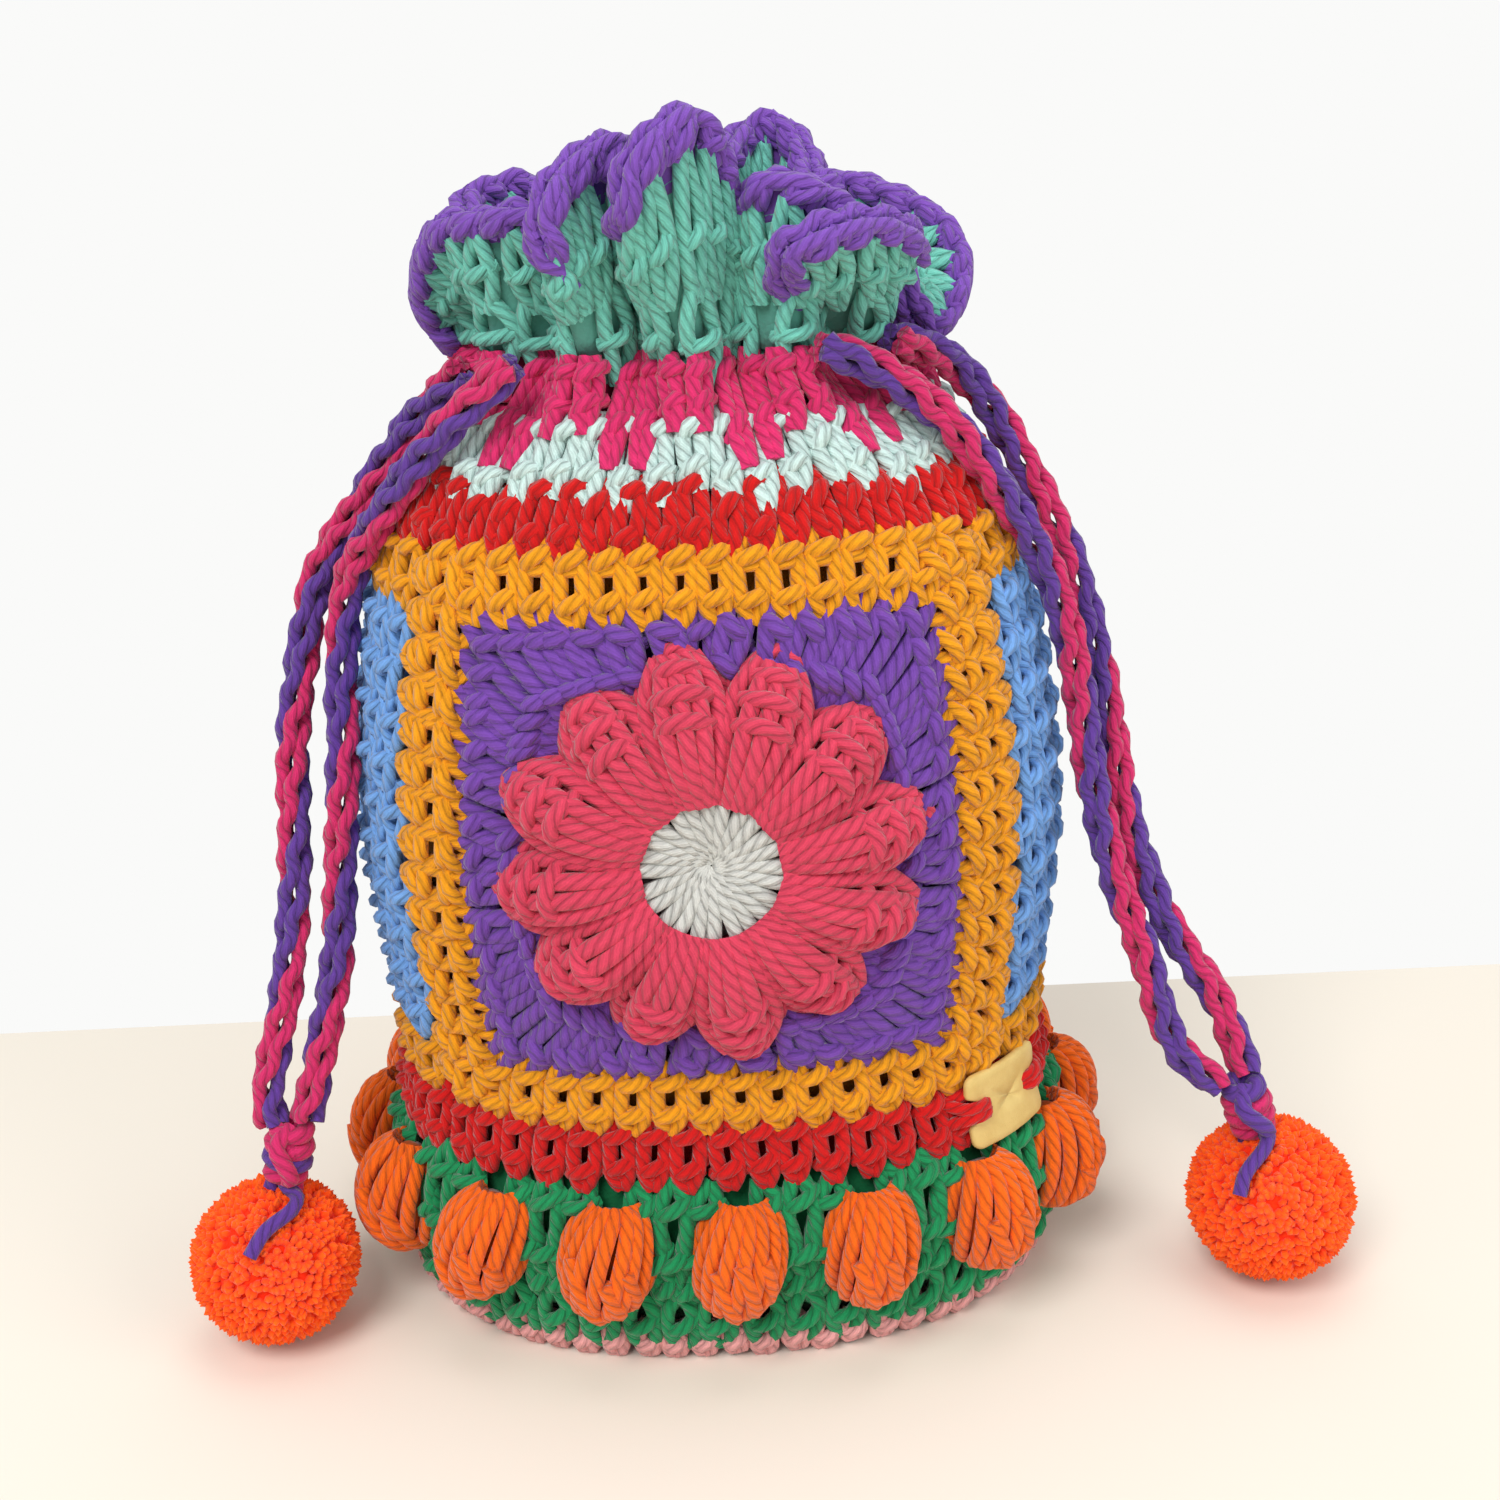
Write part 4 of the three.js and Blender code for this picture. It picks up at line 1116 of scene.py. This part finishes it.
def ruffle_piece(name, lines, low, high, colour, node):
    strands = Strands()
    for points, size in lines:
        path = smooth_line(np.asarray(points) * RUFFLE_SIZE) / RUFFLE_SIZE
        strands.add(path, size)
    strands.mapped(ruffle)
    columns = np.arange(0, edge_count, 3) / edge_count
    climbs = np.linspace(low, high, 7)
    run, climb = np.meshgrid(columns, climbs, indexing="ij")
    front = ruffle(run.ravel(), climb.ravel(), np.full(run.size, 0.55)).reshape(*run.shape, 3)
    rear = ruffle(run.ravel(), climb.ravel(), np.full(run.size, -0.55)).reshape(*run.shape, 3)
    backing = closed_ring(np.concatenate([front, rear[:, ::-1]], 1))
    return knit(name, strands, YARNS[colour], [node], [backing], sides=6)


teal = []
foot_sorted = FOOT[:-1]
for k in range(40):
    wanted = foot_sorted[0] + (k + 0.5) / 40
    run = float(np.interp(wanted, foot_sorted, np.arange(edge_count) / edge_count))
    for rise in (1.5, -1.3):
        ruffle_leaf(teal, run, -0.16 - 0.05 * (k % 2), 0.46, 1 / 44, rise)
for k in range(80):
    run = (k + 0.5 + random.uniform(-0.1, 0.1)) / 80
    for rise in (1.5, -1.3):
        ruffle_leaf(teal, run, 0.34, 0.93, 1 / 80, rise)
ruffle_piece("teal_ruffle_stitches", teal, 0.0, 0.84, "teal", "teal_ruffle")

# %% The purple edging
edging = []
EDGE_STITCHES = 78
for k in range(EDGE_STITCHES):
    run = (k + 0.5 + random.uniform(-0.08, 0.08)) / EDGE_STITCHES
    for rise in (1.7, -1.6):
        ruffle_leaf(edging, run, 0.9, 1.03, 1.1 / EDGE_STITCHES, rise * 0.8)
for side, lag in ((0.9, 0.0), (-0.9, 0.5)):
    points = []
    for k in range(EDGE_STITCHES * 2):
        run = (k + lag) / (EDGE_STITCHES * 2)
        points.append((run, 1.0 + 0.035 * (k % 2), side * (1.0 + 0.9 * (k % 2))))
    edging.append((points, 1.35))
ruffle_piece("edging_stitches", edging, 0.8, 1.0, "violet", "edging_round")

# %% [markdown]
# ## The lining
# A plain cotton cup hangs inside, sewn in at its top. The backings of the rounds hide it from
# outside, and it is seen from above, through the neck. It is cloth, so it is a thin shell with soft
# vertical folds.

# %% The lining
LINING_TOP, LINING_FLOOR = 138.0, 4.6


def lining_cup():
    columns, levels = 160, 40
    turn = np.arange(columns) / columns
    z = np.linspace(LINING_FLOOR, LINING_TOP, levels)
    t, h = np.meshgrid(turn, z, indexing="ij")
    gather = np.clip((h - 60) / 78, 0, 1)
    folds = 0.9 * gather * np.sin(2 * np.pi * 22 * t + 1.2 * np.sin(2 * np.pi * 3 * t))
    outer = bag(t, h, -4.3 + folds * 0.6)
    inner = bag(t, h, -5.1 + folds * 0.6)
    outer[..., 2], inner[..., 2] = h, h
    shares = (0.02, 0.33, 0.66)
    floor_above = np.stack([inner[:, 0] * [s, s, 1] for s in shares], 1) + [0, 0, 0.8]
    floor_under = np.stack([outer[:, 0] * [s, s, 1] for s in shares], 1)
    inside = np.concatenate([floor_above, inner[:, 1:]], 1)
    outside = np.concatenate([floor_under, outer], 1)
    return closed_ring(np.concatenate([outside, inside[:, ::-1]], 1))


def cloth_finish(name, colour):
    f = Finish(name)
    place = f.object_place()
    x, y, z = (f.node("ShaderNodeSeparateXYZ", None, {0: place}, k) for k in range(3))
    thread = 2 * math.pi / (0.9 * MM)
    warp = abs(((x - y) * thread).math("SINE"))
    weft = abs((z * thread).math("SINE"))
    weave = warp * 0.5 + weft * 0.5 + f.noise(400, 3.0, place) * 0.5
    base = f.mix(weave.math("MINIMUM", 1.0), darker(colour, 0.62), colour)
    normal = f.node("ShaderNodeBump", None,
                    {"Strength": 0.4, "Distance": 0.2 * MM, "Height": weave})
    return f.surface({"Base Color": base, "Roughness": 0.92, "Normal": normal,
                      "Specular IOR Level": 0.2})


def plain_piece(name, shape, material, nodes):
    """A piece from one closed shape made in mesh code."""
    points, quads = shape
    mesh = bpy.data.meshes.new(name)
    mesh.from_pydata((points * MM).tolist(), [], quads)
    mesh.materials.append(material)
    mesh.polygons.foreach_set("use_smooth", [True] * len(mesh.polygons))
    piece = bpy.data.objects.new(name, mesh)
    scene.collection.objects.link(piece)
    return finish_piece(piece, nodes)


COTTON = cloth_finish("lining cotton", linear(150, 150, 108))
lining = plain_piece("lining_cup", lining_cup(), COTTON, ["lining"])

# %% [markdown]
# ## The drawcords
# Each cord is four strands, two purple and two magenta, laid round one another like a loose braid.
# A frame is carried along the route without twisting, and the strands wind round it.

# %% A cord round a route
def frames_along(line):
    """For each point, two directions across the line that don't spin as it goes."""
    ahead = np.gradient(line, axis=0)
    ahead /= np.linalg.norm(ahead, axis=1, keepdims=True)
    first = np.cross(ahead[0], [0.3, 1.0, 0.1])
    across = [first / np.linalg.norm(first)]
    for k in range(1, len(line)):
        side = across[-1] - ahead[k] * (across[-1] @ ahead[k])
        across.append(side / np.linalg.norm(side))
    across = np.array(across)
    return across, np.cross(ahead, across)


CORD_TURN = 46.0


def wind(strands, line, begin):
    across, other = frames_along(line)
    run = np.concatenate([[0], np.cumsum(np.linalg.norm(np.diff(line, axis=0), axis=1))])
    for k in range(4):
        wave = run * 2 * math.pi / 7.4 + k * math.pi
        angle = begin + k * math.pi / 2 + run / CORD_TURN * 2 * math.pi + 0.32 * np.sin(wave)
        reach = 1.72 + 0.22 * np.cos(wave)
        aside = across * np.cos(angle)[:, None] + other * np.sin(angle)[:, None]
        strands.add(line + aside * reach[:, None], 1.26, tone=float(k < 2))


CORD_BEGIN = {"left_cord_outer": 2.4, "left_cord_inner": 0.9, "right_cord_front": 3.4,
              "right_cord_back": 0.2}
for name, route in CORD_ROUTES.items():
    line = smooth_line(route, 1.1)
    strands = Strands()
    wind(strands, line, CORD_BEGIN[name])
    knit(f"{name}_strands", strands, CORD_YARN, [name], sides=7)

# %% The cords inside the neck
CORD_IN_NECK = {"left_cord_neck": (7.4, 0.25, 1.0), "right_cord_neck": (1.2, 0.75, 2.6)}
for name, (below, middle_turn, begin) in CORD_IN_NECK.items():
    z = NECK - below
    share = np.clip((z - PLEAT_FOOT) / (NECK - PLEAT_FOOT), 0, 1)
    inside = -2.3 - PLEAT_DEPTH * share**2 * (3 - 2 * share) - CORD_WIDTH / 2 + 0.4
    turn = middle_turn + np.linspace(-0.48, 0.48, 60)
    x, y = outline(turn)
    nx, ny = outward(turn)
    line = np.stack([x * half_width(z) + nx * inside, y * half_width(z) + ny * inside,
                     np.full(60, z)], -1)
    strands = Strands()
    wind(strands, smooth_line(line, 1.2), begin)
    knit(f"{name}_strands", strands, CORD_YARN, [name], sides=6)

# %% The knots and their tails
def knot(name, centre, pompom, tones):
    """Turns of both cords wound together, one strand over them, and a tail to the pom-pom."""
    strands = Strands()
    centre = np.array(centre, float)
    axis = np.array([pompom[0] - centre[0], pompom[1] - centre[1], -18.0])
    axis /= np.linalg.norm(axis)
    side = np.cross(axis, [0, 1, 0])
    side /= np.linalg.norm(side)
    other = np.cross(axis, side)
    for k, tone in enumerate(tones):
        drop = (k - (len(tones) - 1) / 2) * 2.7
        radius = 3.1 - 0.18 * abs(drop)
        angle = np.linspace(0, 2.15 * math.pi, 26) + k * 1.1
        path = (centre + axis * (drop + 0.35 * np.sin(angle + k))[:, None]
                + (side * np.cos(angle)[:, None] + other * np.sin(angle)[:, None]) * radius)
        strands.add(path, 1.62, tone=tone)
    over = [centre - axis * 4.6 + other * 1.2, centre - axis * 2.5 + other * 4.6 - side * 1.6,
            centre + other * 5.2, centre + axis * 2.8 + other * 4.6 + side * 1.6,
            centre + axis * 4.8 + other * 1.0]
    strands.add(smooth_line(over), 1.5, tone=tones[0])
    for aside in (-1.3, 1.4):
        strands.add(smooth_line([centre + side * aside, centre + axis * 3 + side * aside,
                                 centre + axis * 7 + side * aside * 1.5 + other * 0.6]), 1.5,
                    tone=float(aside > 0))
    ball = np.array([pompom[0], pompom[1], POMPOM_RADIUS])
    sag = []
    for lean in (0.0, 0.2, 0.4, 0.6, 0.8):
        sway = 3.2 * math.sin(lean * 6) - lean * 2
        way = np.array([centre[0] - ball[0] + sway, -0.6 - lean * 14, 19 - lean * 13.0])
        sag.append(ball + way / np.linalg.norm(way) * (POMPOM_RADIUS + 0.9))
    strands.add(smooth_line([centre + other * 2.0, *sag]), 1.25, tone=0.0)
    return knit(name, strands, CORD_YARN, [name.replace("_turns", "")], sides=8)


knot_pieces = {
    "left": knot("left_knot_turns", KNOTS["left"], POMPOMS["left"], (1.0, 1.0, 0.0, 1.0)),
    "right": knot("right_knot_turns", KNOTS["right"], POMPOMS["right"], (0.0, 1.0, 1.0, 1.0)),
}

# %% [markdown]
# ## The pom-poms
# A pom-pom is a ball of cut yarn ends. Geometry Nodes scatter small rounded ends over a ball, turn
# each along the way out, and vary their length, so that the outline is soft and uneven.

# %% The tree that scatters tufts
def build_tuft_tree():
    tree, given, result = new_tree("tufts over a ball", [
        ("Ball", "NodeSocketGeometry"), ("Tufts", "NodeSocketFloat"),
        ("Tuft radius", "NodeSocketFloat"),
        ("Seed", "NodeSocketInt"), ("Material", "NodeSocketMaterial"),
    ])
    spots = add_node(tree, "GeometryNodeDistributePointsOnFaces", {"distribute_method": "RANDOM"}, {
        "Mesh": given.outputs["Ball"], "Density": given.outputs["Tufts"],
        "Seed": given.outputs["Seed"]})
    tuft = add_node(tree, "GeometryNodeMeshIcoSphere", None,
                    {"Radius": given.outputs["Tuft radius"], "Subdivisions": 1})
    place = add_node(tree, "GeometryNodeInputPosition")
    parts = add_node(tree, "ShaderNodeSeparateXYZ", None, {0: place.outputs[0]})
    reach = add_node(tree, "ShaderNodeMath", {"operation": "DIVIDE"},
                     {0: parts.outputs[2], 1: given.outputs["Tuft radius"]})
    tipped = add_node(tree, "GeometryNodeStoreNamedAttribute",
                      {"data_type": "FLOAT", "domain": "POINT"},
                      {"Geometry": tuft.outputs["Mesh"], "Name": "tip", "Value": reach.outputs[0]})
    tilt = add_node(tree, "FunctionNodeRandomValue", {"data_type": "FLOAT_VECTOR"}, {
        0: (-0.22, -0.22, 0.0), 1: (0.22, 0.22, 6.28), "Seed": 3})
    spun = add_node(tree, "FunctionNodeEulerToRotation", None, {0: tilt.outputs[0]})
    turned = add_node(tree, "FunctionNodeRotateRotation", {"rotation_space": "LOCAL"}, {
        0: spots.outputs["Rotation"], 1: spun.outputs[0]})
    size = add_node(tree, "FunctionNodeRandomValue", {"data_type": "FLOAT_VECTOR"}, {
        0: (0.8, 0.8, 1.2), 1: (1.25, 1.25, 2.3), "Seed": 5})
    placed = add_node(tree, "GeometryNodeInstanceOnPoints", None, {
        "Points": spots.outputs["Points"], "Instance": tipped.outputs[0],
        "Rotation": turned.outputs[0], "Scale": size.outputs[0]})
    shade = add_node(tree, "FunctionNodeRandomValue", {"data_type": "FLOAT"}, {"Seed": 9})
    toned = add_node(tree, "GeometryNodeStoreNamedAttribute",
                     {"data_type": "FLOAT", "domain": "INSTANCE"},
                     {"Geometry": placed.outputs[0], "Name": "tone", "Value": shade.outputs[1]})
    joined = tree.nodes.new("GeometryNodeJoinGeometry")
    tree.links.new(toned.outputs[0], joined.inputs[0])
    tree.links.new(given.outputs["Ball"], joined.inputs[0])
    real = add_node(tree, "GeometryNodeRealizeInstances", None, {0: joined.outputs[0]})
    painted = add_node(tree, "GeometryNodeSetMaterial", None,
                       {"Geometry": real.outputs[0], "Material": given.outputs["Material"]})
    tree.links.new(painted.outputs[0], result.inputs[0])
    return tree


def pompom_finish():
    f = Finish("cut yarn")
    tip, tone = f.attribute("tip", 2), f.attribute("tone", 2)
    place = f.object_place()
    fuzz = f.noise(1500, 3.0, place)
    # Painted shade: each tuft is red-orange at its root and light orange at its tip, and the ball under
    # the tufts, where tip is 0, is red-orange, so the shade between the tufts is painted in; tone and
    # fuzz vary it at random.
    share = (tip ** 1.5 * 0.5 + tone * 0.34 + fuzz * 0.3 - 0.1).math("MINIMUM", 1.0)
    base = f.mix(share, linear(240, 44, 6), linear(255, 116, 24))
    normal = f.node("ShaderNodeBump", None,
                    {"Strength": 0.6, "Distance": 0.4 * MM, "Height": fuzz})
    return f.surface({"Base Color": base, "Roughness": 0.95, "Normal": normal,
                      "Specular IOR Level": 0.15, "Sheen Weight": 0.2, "Sheen Roughness": 0.5})


TUFT_TREE = build_tuft_tree()
TUFT_YARN = pompom_finish()


def pompom(name, spot, seed, node):
    ball = bmesh.new()
    bmesh.ops.create_icosphere(ball, subdivisions=3, radius=(POMPOM_RADIUS - 1.8) * MM)
    bmesh.ops.translate(ball, verts=ball.verts, vec=Vector((*spot, POMPOM_RADIUS + 0.3)) * MM)
    mesh = bpy.data.meshes.new(name)
    ball.to_mesh(mesh)
    ball.free()
    piece = bpy.data.objects.new(name, mesh)
    scene.collection.objects.link(piece)
    bake_nodes(piece, TUFT_TREE, {
        "Tufts": 1.15e6, "Tuft radius": 0.85 * MM, "Seed": seed,
        "Material": TUFT_YARN})
    return finish_piece(piece, [node])


pompom_pieces = {side: pompom(f"{side}_pompom_tufts", POMPOMS[side], seed, f"{side}_pompom")
                 for side, seed in (("left", 4), ("right", 8))}

# %% Each cord's route as a smooth line in metres; nothing is done with it
for name, route in CORD_ROUTES.items():
    side = name.split("_")[0]
    line = smooth_line(route, 4.0) * MM

# %% [markdown]
# ## The leather tag
# A small plate of pale leather, left bare, with soft rounded edges and a notch on each side where
# red yarn holds it to the bag. Rings of points shrink towards its middle and follow the wall.

# %% The tag
TAG_WIDE, TAG_TALL, TAG_THICK, TAG_TURN, TAG_LEVEL, TAG_SEAT = 16.5, 14.5, 1.4, 0.15, 40.0, 4.4


def on_tag(x, y, out):
    return bag(TAG_TURN + x / around(TAG_LEVEL), TAG_LEVEL + y, TAG_SEAT + out)


def tag_outline():
    wide, tall, corner, notch = TAG_WIDE / 2, TAG_TALL / 2, 1.6, 2.6
    quarter = []
    quarter += [(wide - notch, 0.0), (wide - notch + 0.3, 1.3), (wide - 0.9, 2.3), (wide - 0.1, 2.8),
                (wide, 3.4), (wide, tall - corner)]
    for angle in np.linspace(0, math.pi / 2, 6)[1:]:
        quarter.append((wide - corner + corner * math.cos(angle),
                        tall - corner + corner * math.sin(angle)))
    quarter += [(3.0, tall), (0.0, tall)]
    quarter = np.array(quarter)
    left = quarter[::-1][1:] * [-1, 1]
    lower = np.vstack([quarter, left])[::-1][1:-1] * [1, -1]
    return np.vstack([quarter, left, lower])


def tag_plate():
    edge = tag_outline()
    levels = [(0.02, 0.0), (0.5, 0.0), (0.955, 0.0), (1.0, 0.35), (1.0, TAG_THICK - 0.35),
              (0.955, TAG_THICK), (0.8, TAG_THICK), (0.5, TAG_THICK), (0.02, TAG_THICK)]
    rings = [on_tag(edge[:, 0] * s, edge[:, 1] * s, np.full(len(edge), w)) for s, w in levels]
    return closed_ring(np.stack(rings, 1))


def leather_finish():
    f = Finish("pale leather")
    place = f.object_place()
    pores = f.node("ShaderNodeTexVoronoi", {"feature": "DISTANCE_TO_EDGE"},
                   {"Vector": place, "Scale": 1700.0})
    cloudy = f.noise(220, 4.0, place)
    worn = f.noise(700, 3.0, place)
    share = (cloudy * 0.8 + worn * 0.3).math("MINIMUM", 1.0)
    base = f.mix(share, linear(196, 160, 84), linear(230, 206, 134))
    height = pores.math("MINIMUM", 0.12) * 5 + worn * 0.4
    normal = f.node("ShaderNodeBump", None,
                    {"Strength": 0.35, "Distance": 0.15 * MM, "Height": height})
    rough = worn * 0.25 + 0.4
    return f.surface({"Base Color": base, "Roughness": rough, "Normal": normal,
                      "Specular IOR Level": 0.4})


plain_piece("tag_leather_plate", tag_plate(), leather_finish(), ["tag"])


def tag_yarn(name, side):
    strands = Strands()
    for offset in (-1.0, 1.1):
        strands.add(smooth_line([
            (side * (TAG_WIDE / 2 + 3.2), offset * 2.4, -2.6),
            (side * (TAG_WIDE / 2 + 0.6), offset, 1.2),
            (side * (TAG_WIDE / 2 - 2.6), offset * 0.8, 2.0),
            (side * (TAG_WIDE / 2 - 4.4), offset * 0.5, -0.4),
        ]), 1.15)
    strands.mapped(on_tag)
    return knit(f"{name}_yarn", strands, YARNS["red"], [name])


tag_yarn("tag_left_stitch", -1)
tag_yarn("tag_right_stitch", 1)

# %% [markdown]
# ## Floor, surroundings and light
# A pale floor, and soft lamps as in a small studio. There is no wall, which would hide the pouch
# from behind. The floor ends a little behind the pouch, where a wall would stand, and past it the
# camera sees a white world. What the pouch gets from that world is set apart, by Is Camera Ray.

# %% The floor
HALF_ROOM, FLOOR_BEHIND = 2.5, 0.085
PICTURE = 1500


def floor_spot(px, py):
    """Where the line of sight through a spot of the 1500-wide picture meets the floor."""
    half = camera_data.sensor_width / 2 / camera_data.lens
    seen = Vector(((2 * px / PICTURE - 1) * half, (1 - 2 * py / PICTURE) * half, -1))
    way = camera.matrix_world.to_3x3() @ seen
    start = camera.matrix_world.translation
    return start - way * (start.z / way.z)


left_spot, right_spot = floor_spot(180, 1174), floor_spot(1370, 1118)
along_wall = (right_spot - left_spot).normalized() * HALF_ROOM
middle_spot = (left_spot + right_spot) / 2
slope = along_wall.y / along_wall.x
nearest = min(middle_spot.y + slope * (x - middle_spot.x) for x in (-0.11, 0.12))
middle_spot.y += max(0, FLOOR_BEHIND - nearest)
print("the floor ends behind the bag by, mm:", round(middle_spot.y * 1000))

floor_finish = Finish("pale floor")
pale = floor_finish.node("ShaderNodeBsdfDiffuse", None, {"Color": linear(236, 229, 216)})
floor_finish.node("ShaderNodeOutputMaterial", None, {"Surface": pale})
floor_mesh = bpy.data.meshes.new("floor")
floor_mesh.from_pydata([(-HALF_ROOM, -HALF_ROOM, 0), (HALF_ROOM, -HALF_ROOM, 0),
                        middle_spot + along_wall, middle_spot - along_wall], [], [[0, 1, 2, 3]])
floor_mesh.materials.append(floor_finish.material)
floor = bpy.data.objects.new("floor", floor_mesh)
scene.collection.objects.link(floor)

# %% Lamps and surroundings
def lamp(name, place, aim, size, power):
    data = bpy.data.lights.new(name, "AREA")
    data.shape, data.size, data.energy = "DISK", size, power
    light = bpy.data.objects.new(name, data)
    scene.collection.objects.link(light)
    light.location = place
    light.rotation_euler = (Vector(aim) - Vector(place)).to_track_quat("-Z", "Y").to_euler()


lamp("key lamp", (-0.35, -0.75, 0.95), (0, 0, 0.08), 0.6, 8.6)
lamp("fill lamp", (0.8, -0.6, 0.5), (0, 0, 0.08), 0.8, 3.2)
lamp("top lamp", (0.1, 0.1, 1.1), (0, 0, 0.1), 0.8, 2.6)

world = bpy.data.worlds.new("soft room")
scene.world = world
world.use_nodes = True
tree = world.node_tree
tree.nodes.clear()
rays = tree.nodes.new("ShaderNodeLightPath")
felt = add_node(tree, "ShaderNodeBackground", None, {"Color": (1, 1, 1, 1), "Strength": 0.58})
seen = add_node(tree, "ShaderNodeBackground", None, {"Color": linear(250, 250, 249)})
choose = add_node(tree, "ShaderNodeMixShader", None, {
    0: rays.outputs["Is Camera Ray"], 1: felt.outputs[0], 2: seen.outputs[0]})
add_node(tree, "ShaderNodeOutputWorld", None, {"Surface": choose.outputs[0]})
